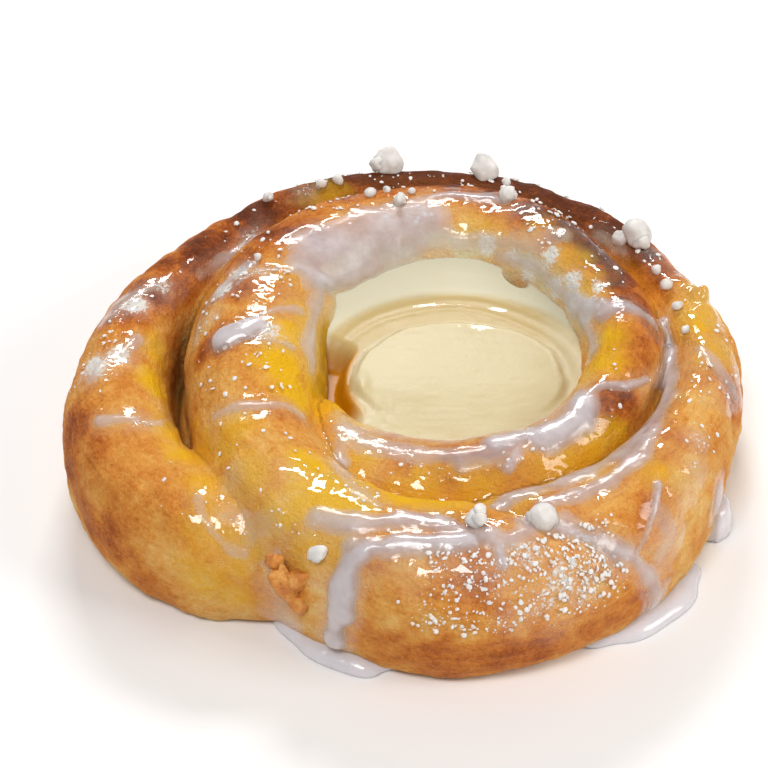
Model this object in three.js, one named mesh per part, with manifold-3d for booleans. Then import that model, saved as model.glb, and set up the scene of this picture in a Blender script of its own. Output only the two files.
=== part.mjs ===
// A custard danish: one rope of sweet dough wound into a snail, round a well filled with custard.
// Sugar icing runs over the coils and has set in puddles at the foot, and pearl sugar sits on top.
// Millimetres, +Z up. The origin is the middle of the footprint, on the surface that it rests on.
import * as THREE from "three";
import { mergeGeometries, mergeVertices } from "three/addons/utils/BufferGeometryUtils.js";
import Module from "manifold-3d";

const wasm = await Module();
wasm.setup();

// The rope winds twice round the well, from its inner tip to its outer tail, and each station
// gives its turn in degrees, its distance from the well's centre, its half width and its crest.
const WELL = new THREE.Vector2(8.33, 4.78);
const STATIONS = [
  [-160, 26.0, 3.2, 19.5],
  [-144, 26.6, 5.4, 20.5],
  [-122, 28.2, 9.0, 22.3],
  [-93, 29.4, 9.0, 23.8],
  [-70, 28.9, 8.2, 25.0],
  [-45, 29.3, 7.6, 26.5],
  [-20, 29.6, 7.4, 27.5],
  [0, 29.6, 7.7, 28.0],
  [25, 29.5, 8.0, 28.5],
  [45, 29.7, 8.6, 29.0],
  [70, 31.0, 9.8, 29.0],
  [95, 32.4, 11.0, 29.0],
  [120, 33.2, 11.6, 29.0],
  [145, 34.4, 12.0, 29.0],
  [165, 34.9, 12.7, 29.0],
  [190, 35.1, 12.8, 28.5],
  [206, 37.8, 11.4, 28.0],
  [220, 41.2, 11.2, 27.5],
  [236, 44.9, 11.0, 27.0],
  [250, 46.9, 11.2, 26.5],
  [268, 48.4, 13.0, 26.0],
  [284, 47.1, 12.6, 26.0],
  [300, 45.7, 10.8, 26.0],
  [320, 44.7, 9.0, 25.7],
  [340, 43.8, 7.6, 25.3],
  [360, 43.3, 7.0, 25.0],
  [382, 42.0, 6.6, 24.5],
  [405, 41.8, 6.4, 24.0],
  [425, 42.7, 6.5, 24.0],
  [450, 44.6, 6.6, 24.0],
  [475, 47.0, 6.8, 24.0],
  [495, 49.2, 6.9, 24.0],
  [512, 52.1, 6.9, 24.2],
  [525, 55.3, 7.2, 24.5],
  [540, 58.0, 8.6, 25.0],
  [556, 59.7, 9.9, 25.0],
  [568, 59.4, 10.2, 24.5],
  [580, 56.2, 9.8, 23.0],
  [590, 51.0, 9.4, 20.5],
  [600, 45.0, 8.4, 16.0],
];
const FIRST_TURN = STATIONS[0][0];
const LAST_TURN = STATIONS.at(-1)[0];
const RADIUS = 1;
const HALF_WIDTH = 2;
const CREST = 3;

// The section is a squared oval, widest at this share of its height, with its foot cut flat.
const WIDEST = 0.46;
const UPPER_SQUARENESS = 0.86;
const LOWER_SQUARENESS = 0.75;
const FOOT_CUT = 2.0;
const TIP_TURNS = 9;
const SECTION_POINTS = 20;
const RING_TURNS = 5.5;
const RINGS_PER_PIECE = 9;

// Folds where the dough creased over itself: turn on the crest, slant, width in turns and depth.
const FOLDS = [
  [285.5, -0.23, 3.0, 1.8],
  [196, 0.1, 3.0, 0.5],
  [155, -0.16, 3.2, 0.9],
  [20, 0.15, 3.0, 0.5],
  [-62, -0.1, 3.0, 0.6],
  [352, 0.2, 3.0, 0.7],
  [418, -0.15, 3.5, 0.6],
  [505, 0.18, 3.5, 0.7],
  [572, -0.1, 3.0, 0.6],
];

// The dough under the custard and under the coils reaches to just inside the outer coil's middle.
const FLOOR_INSET = 1.5;
const FLOOR_HEIGHT = 7.5;
const FLOOR_BEVEL = 1;
const FLOOR_SIDES = 48;

// A torn nub of crust where the tail is tucked in: place on the skin and half sizes.
const NUB = { turn: 244.5, around: 14, size: [4.4, 2.8, 4.6] };

// The seam where the tail has grown together with the coil beside it: place from the well, height
// and radius, from the top end down.
const SEAM = [
  [-38.8, -32.9, 16.8, 3.4],
  [-37.6, -36.6, 16.8, 5.0],
  [-36.2, -39.6, 16.2, 5.4],
  [-33.8, -43.6, 13.6, 5.4],
  [-33.0, -44.8, 8.0, 5.2],
  [-33.0, -44.2, 2.0, 4.7],
];
const SEAM_SIDES = 14;
const SEAM_STEPS = 10;

// The custard lies on the floor, against the coil all round, with a flattened spoonful on top.
const GAP = 0.3;
const CUSTARD_RADIUS = 28.5;
const CUSTARD_LEVEL = 19.2;
const CUSTARD_RIM_RISE = 3.0;
const DOLLOP = { x: 1.0, y: -5.6, rx: 18.9, ry: 14.4, rise: 1.4, edge: 0.14, tilt: -0.005 };
const SWIRLS = { count: 3, height: 0.55, from: 0.62, step: 0.14 };
const CUSTARD_SIDES = 48;
const CUSTARD_RINGS = 12;

// Icing runs: a route of [turn, angle round the section] pairs, half width and thickness.
const ICING_RUNS = {
  sheet: { route: [[139, 112], [126, 123], [112, 123], [99, 114]], half: 5.0, thick: 0.9 },
  sheet_fall: {
    route: [[138, 135], [150, 140], [160, 136], [177, 133], [188, 130], [195, 150]],
    half: 2.2, thick: 0.8,
  },
  ridge: { route: [[99, 92], [91, 86], [81, 86], [73, 83]], half: 1.8, thick: 0.6 },
  flow_right: { route: [[20, 137], [6, 110], [5, 86], [2, 61]], half: 2.4, thick: 0.8 },
  drip_right: { route: [[-38, 99], [-32, 90], [-29, 78], [-27, 70]], half: 1.3, thick: 0.7 },
  groove_top: { route: [[369, 138], [361, 141], [351, 137], [339, 128]], half: 2.0, thick: 1.2 },
  groove_right: {
    route: [[325, 124], [308, 124], [299, 122], [291, 122], [283, 122]],
    half: 2.6, thick: 1.2,
  },
  lobe: { route: [[-41, 92], [-48, 81], [-57, 83], [-66, 90], [-76, 92]], half: 2.8, thick: 1.2 },
  front_rim: {
    route: [[-77, 83], [-92, 88], [-108, 92], [-121, 88], [-133, 90]],
    half: 2.4, thick: 0.7,
  },
  front_groove: {
    route: [[247, 60], [254, 83], [259, 91], [265, 91], [271, 88], [278, 80]],
    half: 2.2, thick: 1.1,
  },
  front_drip: {
    route: [[269, 81], [259, 74], [255, 63], [253, 47], [253, 25], [253, -6]],
    half: 2.0, thick: 1.3,
  },
  groove_end: {
    route: [[285, 90], [289, 83], [292, 63], [295, 45], [299, 32], [303, 6]],
    half: 2.2, thick: 1.1,
  },
  right_streak: { route: [[311, 68], [307, 52], [303, 36], [300, 22]], half: 1.2, thick: 0.9 },
  drop_left: { route: [[187, 72], [186, 82], [183, 93]], half: 2.8, thick: 1.4 },
  drop_tail: { route: [[181, 92], [176, 106], [173, 124]], half: 1.5, thick: 0.6 },
  streak_left: { route: [[560, 72], [561, 86], [562, 97]], half: 1.2, thick: 0.5 },
  strip_inner: { route: [[212, 54], [213, 90], [213, 110], [215, 124]], half: 1.3, thick: 0.6 },
  dab_left: { route: [[551, 72], [547, 83], [545, 97], [541, 106]], half: 1.5, thick: 0.6 },
  crust_edge: { route: [[172, 52], [166, 58], [163, 68], [158, 70]], half: 1.5, thick: 0.7 },
};
const ICING_STEP = 4.2;
const ICING_LANES = 4;
const ICING_SUNK = 0.7;

// Puddles of set icing at the foot: place from the well's centre, half length and half width,
// height and heading.
const PUDDLES = [
  { x: -20.2, y: -49.3, length: 11.5, width: 5.4, height: 2.6, heading: -32 },
  { x: 31.0, y: -41.0, length: 13.4, width: 6.2, height: 2.4, heading: 41 },
  { x: 45.3, y: -22.9, length: 4.2, width: 2.6, height: 6.4, heading: 78 },
];
const PUDDLE_SIDES = 20;

// The largest pearl sugar: [turn, angle round the section, size], and the rule for the rest.
const PEARLS = [
  [464, 70, 6.0], [442, 70, 5.4], [397, 88, 6.4], [492, 79, 2.5], [480, 88, 2.5],
  [476, 88, 2.2], [114, 76, 2.5], [107, 92, 2.8], [73, 79, 3.2], [385, 101, 2.2],
  [379, 104, 2.5], [371, 108, 2.2], [273, 92, 4.3], [287, 90, 4.6], [247, 43, 3.5],
];
const SMALL_PEARLS = 28;
const SMALL_PEARL = { least: 1.2, most: 2.0 };

const radians = THREE.MathUtils.degToRad;

// One column of the stations at a turn, along a smooth curve through them.
function station(turn, column) {
  const last = STATIONS.length - 1;
  let i = 0;
  while (i < last - 1 && STATIONS[i + 1][0] < turn) i += 1;
  const slope = (k) => {
    const before = STATIONS[Math.max(k - 1, 0)];
    const after = STATIONS[Math.min(k + 1, last)];
    return (after[column] - before[column]) / (after[0] - before[0]);
  };
  const span = STATIONS[i + 1][0] - STATIONS[i][0];
  const t = (turn - STATIONS[i][0]) / span;
  const rise = STATIONS[i + 1][column] - STATIONS[i][column];
  const smooth = t * t * (3 - 2 * t);
  const start = t * (1 - t) * (1 - t);
  const end = t * t * (1 - t);
  return STATIONS[i][column] + rise * smooth + span * (start * slope(i) - end * slope(i + 1));
}

function centreLine(turn) {
  const a = radians(turn);
  const r = station(turn, RADIUS);
  return new THREE.Vector2(WELL.x + r * Math.cos(a), WELL.y + r * Math.sin(a));
}

// Lumps and folds that lift or sink the crust, by turn and by angle round the section.
function relief(turn, around) {
  const twist = radians(around) * 2 + turn / 11;
  const lumps = 0.32 * Math.sin(twist) + 0.26 * Math.sin(radians(turn * 5.1) + radians(around));
  const folds = FOLDS.reduce((sum, [at, slant, width, depth]) => {
    const off = (turn - at - slant * (around - 90)) / width;
    return sum - depth * Math.exp(-off * off);
  }, 0);
  const upper = THREE.MathUtils.smoothstep(Math.sin(radians(around)), -0.1, 0.5);
  return lumps + folds * upper;
}

// A point on the rope's skin. Around is 0 on the outside of the coil and 90 on its crest.
function skin(turn, around, grow = 0) {
  const at = THREE.MathUtils.clamp(turn, FIRST_TURN, LAST_TURN);
  const from = centreLine(Math.max(at - 1, FIRST_TURN));
  const to = centreLine(Math.min(at + 1, LAST_TURN));
  const heading = to.sub(from).normalize();
  const tip = Math.min(Math.min(at - FIRST_TURN, LAST_TURN - at) / TIP_TURNS, 1);
  const taper = Math.max(Math.sqrt(1 - (1 - tip) * (1 - tip)), 0.3);
  const a = radians(around);
  const squareness = Math.sin(a) >= 0 ? UPPER_SQUARENESS : LOWER_SQUARENESS;
  const squared = (v) => Math.sign(v) * Math.abs(v) ** squareness;
  const swell = relief(at, around) * taper + grow;
  const crest = station(at, CREST);
  const middle = crest * WIDEST;
  const half = station(at, HALF_WIDTH) * taper + swell;
  const above = (crest - middle) * taper + swell;
  const below = middle * taper + FOOT_CUT + swell;
  const out = half * squared(Math.cos(a));
  const up = squared(Math.sin(a)) * (Math.sin(a) > 0 ? above : below);
  const c = centreLine(at);
  return new THREE.Vector3(c.x + heading.y * out, c.y - heading.x * out, Math.max(middle + up, 0));
}

// The way out of the skin there, by its slopes along and round the rope.
function skinNormal(turn, around) {
  const along = skin(turn + 1, around).sub(skin(turn - 1, around));
  const round = skin(turn, around + 4).sub(skin(turn, around - 4));
  return along.cross(round).normalize();
}

function indexed(points, triangles) {
  const geometry = new THREE.BufferGeometry().setFromPoints(points);
  geometry.setIndex(triangles);
  return geometry;
}

// A closed skin over rings of points, each ring closed on itself, with a fan over either end.
function loft(rings) {
  const count = rings[0].length;
  const points = rings.flat();
  const triangles = [];
  for (let r = 0; r + 1 < rings.length; r += 1) {
    for (let k = 0; k < count; k += 1) {
      const a = r * count + k;
      const b = r * count + ((k + 1) % count);
      triangles.push(a, a + count, b + count, a, b + count, b);
    }
  }
  for (const [ring, first, flipped] of [
    [rings[0], 0, false],
    [rings.at(-1), (rings.length - 1) * count, true],
  ]) {
    const middle = points.length;
    points.push(ring.reduce((sum, p) => sum.add(p), new THREE.Vector3()).divideScalar(count));
    for (let k = 0; k < count; k += 1) {
      const [a, b] = [first + k, first + ((k + 1) % count)];
      triangles.push(...(flipped ? [middle, b, a] : [middle, a, b]));
    }
  }
  return indexed(points, triangles);
}

function solid(geometry) {
  const bare = geometry.clone();
  bare.deleteAttribute("normal");
  bare.deleteAttribute("uv");
  const merged = mergeVertices(bare, 1e-4);
  const made = new wasm.Manifold(
    new wasm.Mesh({
      numProp: 3,
      vertProperties: new Float32Array(merged.attributes.position.array),
      triVerts: new Uint32Array(merged.index.array),
    }),
  );
  if (made.volume() < 0) throw new Error("a piece faces inwards");
  return made;
}

function geometryOf(manifold) {
  const mesh = manifold.getMesh();
  const geometry = new THREE.BufferGeometry();
  geometry.setAttribute("position", new THREE.BufferAttribute(mesh.vertProperties, 3));
  geometry.setIndex(new THREE.BufferAttribute(mesh.triVerts, 1));
  return geometry;
}

const joined = (solids) => solids.reduce((whole, next) => whole.add(next));

const largest = (manifold) =>
  manifold.decompose().reduce((best, next) => (next.volume() > best.volume() ? next : best));

// The rope in short lengths, each closed, because the coils press into each other.
function ropePieces(grow) {
  const rings = [];
  for (let turn = FIRST_TURN; turn < LAST_TURN + RING_TURNS; turn += RING_TURNS) {
    const at = Math.min(turn, LAST_TURN);
    rings.push(
      Array.from({ length: SECTION_POINTS }, (_, k) => skin(at, (360 * k) / SECTION_POINTS, grow)),
    );
  }
  const pieces = [];
  for (let r = 0; r + 1 < rings.length; r += RINGS_PER_PIECE) {
    pieces.push(loft(rings.slice(r, r + RINGS_PER_PIECE + 1)));
  }
  return pieces;
}

// The dough under the custard and in the clefts between the coils, down to the table.
function floorPiece(grow) {
  const top = FLOOR_HEIGHT + grow;
  const rings = [
    [0, 0],
    [0, top - FLOOR_BEVEL],
    [FLOOR_BEVEL, top],
  ].map(([inset, z]) =>
    Array.from({ length: FLOOR_SIDES }, (_, k) => {
      const turn = LAST_TURN - 360 + (360 * k) / FLOOR_SIDES;
      const r = station(turn, RADIUS) - FLOOR_INSET - inset;
      const a = radians(turn);
      return new THREE.Vector3(WELL.x + r * Math.cos(a), WELL.y + r * Math.sin(a), z);
    }),
  );
  return loft(rings.reverse());
}

// The nub of torn crust, half sunk in the coil.
function nub() {
  const place = skin(NUB.turn, NUB.around);
  return new THREE.IcosahedronGeometry(1, 1)
    .scale(...NUB.size)
    .rotateY(radians(-20))
    .rotateZ(radians(-28))
    .translate(place.x, place.y, place.z - 1);
}

// The seam of the tail, as a thick cord of dough that fills the cleft.
function seam() {
  const line = new THREE.CatmullRomCurve3(
    SEAM.map(([x, y, z]) => new THREE.Vector3(WELL.x + x, WELL.y + y, z)),
  );
  const radii = new THREE.CatmullRomCurve3(SEAM.map(([, , , r]) => new THREE.Vector3(r, 0, 0)));
  const run = line.getPoint(1).sub(line.getPoint(0));
  const side = new THREE.Vector3(-run.y, run.x, 0).normalize();
  const rings = Array.from({ length: SEAM_STEPS + 1 }, (_, j) => {
    const t = j / SEAM_STEPS;
    const other = line.getTangent(t).cross(side).normalize();
    return Array.from({ length: SEAM_SIDES }, (__, k) => {
      const a = (2 * Math.PI * k) / SEAM_SIDES;
      return line
        .getPoint(t)
        .addScaledVector(side, radii.getPoint(t).x * Math.cos(a))
        .addScaledVector(other, radii.getPoint(t).x * Math.sin(a));
    });
  });
  return loft(rings.reverse());
}

// A run of icing: a low, round-edged strip draped on the crust and sunk a little into it.
function icingRun({ route, half, thick }, crust) {
  const ray = new THREE.Raycaster();
  const reach = 9;
  const drape = (point, normal) => {
    ray.set(point.clone().addScaledVector(normal, reach), normal.clone().negate());
    const hit = ray.intersectObject(crust)[0];
    return hit && hit.distance < reach * 1.8 ? hit.point : point.clone();
  };
  const line = new THREE.CatmullRomCurve3(route.map(([turn, around]) => skin(turn, around)));
  const normals = new THREE.CatmullRomCurve3(route.map(([turn, around]) => skinNormal(turn, around)));
  const steps = Math.max(Math.round(line.getLength() / ICING_STEP), 2);
  const lanes = Array.from({ length: ICING_LANES + 1 }, (_, k) => (2 * k) / ICING_LANES - 1);
  const rings = [];
  for (let s = 0; s <= steps; s += 1) {
    const t = s / steps;
    const normal = normals.getPoint(t).normalize();
    const side = new THREE.Vector3().crossVectors(normal, line.getTangent(t)).normalize();
    const end = Math.sqrt(Math.max(1 - (2 * t - 1) ** 8, 0.12));
    const ring = [];
    for (const across of lanes) {
      const foot = drape(line.getPoint(t).addScaledVector(side, across * half * end), normal);
      ring.push(foot.addScaledVector(normal, thick * end * Math.sqrt(1 - across * across * 0.96)));
    }
    for (const across of lanes.slice(1, -1).reverse()) {
      const foot = drape(line.getPoint(t).addScaledVector(side, across * half * end), normal);
      ring.push(foot.addScaledVector(normal, -ICING_SUNK));
    }
    rings.push(ring);
  }
  return loft(rings);
}

// A puddle of icing at the foot, domed, with its underside on the table.
function puddle({ x, y, length, width, height, heading }) {
  const profile = [[0, 0], [1, 0], [1.03, 0.3], [0.9, 0.78], [0.5, 1], [0, 1.02]];
  return new THREE.LatheGeometry(profile.map(([r, z]) => new THREE.Vector2(r, z)), PUDDLE_SIDES)
    .rotateX(Math.PI / 2)
    .scale(length, width, height)
    .rotateZ(radians(heading))
    .translate(WELL.x + x, WELL.y + y, 0);
}

// A small seeded generator, so that the scatter is the same every time.
function seeded(seed) {
  let state = seed;
  return () => {
    state = (state * 1664525 + 1013904223) % 4294967296;
    return state / 4294967296;
  };
}

// A lump of pearl sugar: an uneven rounded stone, half buried.
function pearl([turn, around, size], draw) {
  const stone = new THREE.IcosahedronGeometry(size / 2, size > 3 ? 1 : 0);
  const warp = [draw(), draw(), draw()].map((v) => 0.8 + 0.4 * v);
  const normal = skinNormal(turn, around);
  const place = skin(turn, around).addScaledVector(normal, size * 0.22);
  return stone
    .scale(...warp)
    .rotateZ(draw() * 6)
    .rotateX(draw() * 6)
    .translate(place.x, place.y, place.z);
}

function smallPearls(draw) {
  const turns = LAST_TURN - FIRST_TURN - 60;
  const pearls = [];
  for (let k = 0; k < SMALL_PEARLS; k += 1) {
    const turn = FIRST_TURN + 30 + (turns * (k + draw() * 0.8)) / SMALL_PEARLS;
    const around = 55 + 65 * draw();
    pearls.push([turn, around, SMALL_PEARL.least + (SMALL_PEARL.most - SMALL_PEARL.least) * draw()]);
  }
  return pearls;
}

// The custard's upper surface over a point given from the well's centre.
function custardTop(x, y) {
  const r = Math.hypot(x, y) / CUSTARD_RADIUS;
  const angle = Math.atan2(y, x);
  const back = THREE.MathUtils.smoothstep(Math.sin(angle), 0.1, 0.9);
  const rim = CUSTARD_RIM_RISE * THREE.MathUtils.smoothstep(r, 0.62, 0.95) * back;
  const dx = (x - DOLLOP.x) / DOLLOP.rx;
  const dy = (y - DOLLOP.y) / DOLLOP.ry;
  const d = Math.hypot(dx, dy);
  const slope = DOLLOP.tilt * (y - DOLLOP.y);
  const dollop = DOLLOP.rise * THREE.MathUtils.smoothstep(1 - d, 0, DOLLOP.edge) + slope;
  let swirl = 0;
  for (let k = 0; k < SWIRLS.count; k += 1) {
    const off = (r - SWIRLS.from - SWIRLS.step * k) / 0.05;
    swirl += SWIRLS.height * Math.exp(-off * off) * back;
  }
  return CUSTARD_LEVEL + rim + swirl + (d < 1 ? dollop : 0);
}

// The custard before the coil is cut out of it: a disc with its modelled top.
function custardDisc() {
  const base = FLOOR_HEIGHT + GAP;
  const rings = [];
  for (let j = 1; j <= CUSTARD_RINGS; j += 1) {
    const r = (CUSTARD_RADIUS * j) / CUSTARD_RINGS;
    rings.push(
      Array.from({ length: CUSTARD_SIDES }, (_, k) => {
        const a = (2 * Math.PI * k) / CUSTARD_SIDES;
        const [x, y] = [r * Math.cos(a), r * Math.sin(a)];
        return new THREE.Vector3(WELL.x + x, WELL.y + y, custardTop(x, y));
      }),
    );
  }
  rings.push(rings.at(-1).map((p) => new THREE.Vector3(p.x, p.y, base)));
  return loft(rings);
}

function buildDough() {
  const rope = ropePieces(0);
  const bothSides = new THREE.MeshBasicMaterial({ side: THREE.DoubleSide });
  const crust = new THREE.Mesh(mergeGeometries(rope), bothSides);
  const draw = seeded(7);
  const pearls = [...PEARLS, ...smallPearls(draw)].map((p) => pearl(p, draw));
  const runs = Object.values(ICING_RUNS).map((run) => icingRun(run, crust));
  const toppings = [...PUDDLES.map(puddle), ...runs, ...pearls];
  const whole = joined([...rope, floorPiece(0), seam(), nub(), ...toppings].map(solid));
  return geometryOf(largest(whole));
}

function buildCustard() {
  const coil = joined([...ropePieces(GAP), floorPiece(GAP)].map(solid));
  return geometryOf(largest(solid(custardDisc()).subtract(coil)));
}

const crustMaterial = new THREE.MeshStandardMaterial({ color: 0xc98a3c, roughness: 0.55, metalness: 0 });
const custardMaterial = new THREE.MeshStandardMaterial({ color: 0xecd8a4, roughness: 0.3, metalness: 0 });

const pastry = new THREE.Group();
for (const [name, geometry, material] of [
  ["dough", buildDough(), crustMaterial],
  ["custard", buildCustard(), custardMaterial],
]) {
  const mesh = new THREE.Mesh(geometry, material);
  mesh.name = name;
  pastry.add(mesh);
}
export default pastry;
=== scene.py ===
"""A custard danish: a rope of sweet dough wound into a snail round a well of custard, with milky
sugar icing run over the coils and pearl sugar on top. It is built in millimetres round the well,
in the row frame, and turned into metres as each mesh is made.
"""

import math

import bmesh
import bpy
import numpy as np
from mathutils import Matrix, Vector


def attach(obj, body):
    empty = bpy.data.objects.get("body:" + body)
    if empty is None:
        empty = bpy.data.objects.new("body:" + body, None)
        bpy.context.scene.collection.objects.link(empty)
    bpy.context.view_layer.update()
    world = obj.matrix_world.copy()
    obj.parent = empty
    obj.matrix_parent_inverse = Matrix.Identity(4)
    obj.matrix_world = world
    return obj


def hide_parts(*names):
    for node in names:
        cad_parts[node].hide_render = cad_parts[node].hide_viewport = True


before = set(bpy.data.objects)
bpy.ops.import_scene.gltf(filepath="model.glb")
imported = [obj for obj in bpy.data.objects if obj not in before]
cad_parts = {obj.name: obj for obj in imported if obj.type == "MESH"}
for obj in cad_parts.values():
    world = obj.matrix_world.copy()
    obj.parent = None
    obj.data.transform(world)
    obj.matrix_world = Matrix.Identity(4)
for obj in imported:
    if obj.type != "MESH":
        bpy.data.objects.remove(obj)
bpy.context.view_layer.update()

MM = 0.001

# The middle of the well in the part's frame.
WELL = np.array([8.33, 4.78])

# The rope of dough, as the CAD part has it: turn, distance from the well, half width and crest.
STATIONS = np.array([
    (-160, 26.0, 3.2, 19.5),
    (-144, 26.6, 5.4, 20.5),
    (-122, 28.2, 9.0, 22.3),
    (-93, 29.4, 9.0, 23.8),
    (-70, 28.9, 8.2, 25.0),
    (-45, 29.3, 7.6, 26.5),
    (-20, 29.6, 7.4, 27.5),
    (0, 29.6, 7.7, 28.0),
    (25, 29.5, 8.0, 28.5),
    (45, 29.7, 8.6, 29.0),
    (70, 31.0, 9.8, 29.0),
    (95, 32.4, 11.0, 29.0),
    (120, 33.2, 11.6, 29.0),
    (145, 34.4, 12.0, 29.0),
    (165, 34.9, 12.7, 29.0),
    (190, 35.1, 12.8, 28.5),
    (206, 37.8, 11.4, 28.0),
    (220, 41.2, 11.2, 27.5),
    (236, 44.9, 11.0, 27.0),
    (250, 46.9, 11.2, 26.5),
    (268, 48.4, 13.0, 26.0),
    (284, 47.1, 12.6, 26.0),
    (300, 45.7, 10.8, 26.0),
    (320, 44.7, 9.0, 25.7),
    (340, 43.8, 7.6, 25.3),
    (360, 43.3, 7.0, 25.0),
    (382, 42.0, 6.6, 24.5),
    (405, 41.8, 6.4, 24.0),
    (425, 42.7, 6.5, 24.0),
    (450, 44.6, 6.6, 24.0),
    (475, 47.0, 6.8, 24.0),
    (495, 49.2, 6.9, 24.0),
    (512, 52.1, 6.9, 24.2),
    (525, 55.3, 7.2, 24.5),
    (540, 58.0, 8.6, 25.0),
    (556, 59.7, 9.9, 25.0),
    (568, 59.4, 10.2, 24.5),
    (580, 56.0, 9.4, 23.0),
    (590, 49.8, 8.4, 20.5),
    (600, 43.5, 7.2, 16.0),
])
FIRST_TURN = STATIONS[0, 0]
LAST_TURN = STATIONS[-1, 0]
RADIUS, HALF_WIDTH, CREST = 1, 2, 3

# The rope's section: where it is widest as a share of its crest, and how square it is.
WIDEST = 0.46
UPPER_SQUARENESS = 0.86
LOWER_SQUARENESS = 0.75
FOOT_CUT = 2.0
TIP_TURNS = 9.0

# Folds in the crust: turn on the crest, slant, width in turns and depth.
FOLDS = [
    (285.5, -0.23, 3.0, 1.8),
    (196, 0.1, 3.0, 0.5),
    (155, -0.16, 3.2, 0.9),
    (20, 0.15, 3.0, 0.5),
    (-62, -0.1, 3.0, 0.6),
    (352, 0.2, 3.0, 0.7),
    (418, -0.15, 3.5, 0.6),
    (505, 0.18, 3.5, 0.7),
    (572, -0.1, 3.0, 0.6),
]

# The dough under the custard and in the clefts, which reaches to inside the outer coil.
FLOOR_INSET = 1.5
FLOOR_HEIGHT = 7.5

# A torn nub of crust where the tail is tucked in: turn and angle round the section.
NUB = (244.5, 14)

# The crisp flakes on the nub: place from its middle, half sizes and lean.
FLAKES = [
    ((-1.8, -0.1, -2.9), (2.1, 1.8, 6.0), 17),
    ((2.6, -0.5, -6.4), (1.9, 1.6, 3.8), -43),
    ((-3.7, 0.9, 2.6), (1.5, 1.3, 2.2), 20),
    ((0.2, -0.5, -6.2), (1.9, 1.6, 2.6), 0),
    ((-0.6, -0.2, -0.8), (2.6, 1.6, 2.8), -20),
]

# Where the tail has baked on to the coil beside it: places from the well, height and radius.
BRIDGE = [
    (-38.8, -32.6, 15.8, 4.4), (-36.2, -39.0, 14.6, 5.0), (-33.8, -42.6, 12.2, 5.0),
    (-33.0, -43.2, 8.0, 4.8), (-33.0, -42.2, 4.0, 4.4),
]
BRIDGE_REACH = 8.5

# The thin lip of crust at the right edge: turn, angle round the section, height and radius.
FIN = [(379, 84, 0.9, 2.2), (375, 80, 1.4, 2.0), (372.5, 76, 3.0, 1.5), (369, 76, 0.9, 2.2)]

# How finely the dough is meshed, how often its joins are evened, and the share of faces kept.
VOXEL = 0.56
ROPE_RINGS = 760
ROPE_POINTS = 96
JOIN_ROUNDS = 4
SEAM_ROUNDS = 40
FACES_KEPT = 0.74

# The section's usual radius, which turns an angle round it into millimetres.
SECTION_RADIUS = 12

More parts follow.
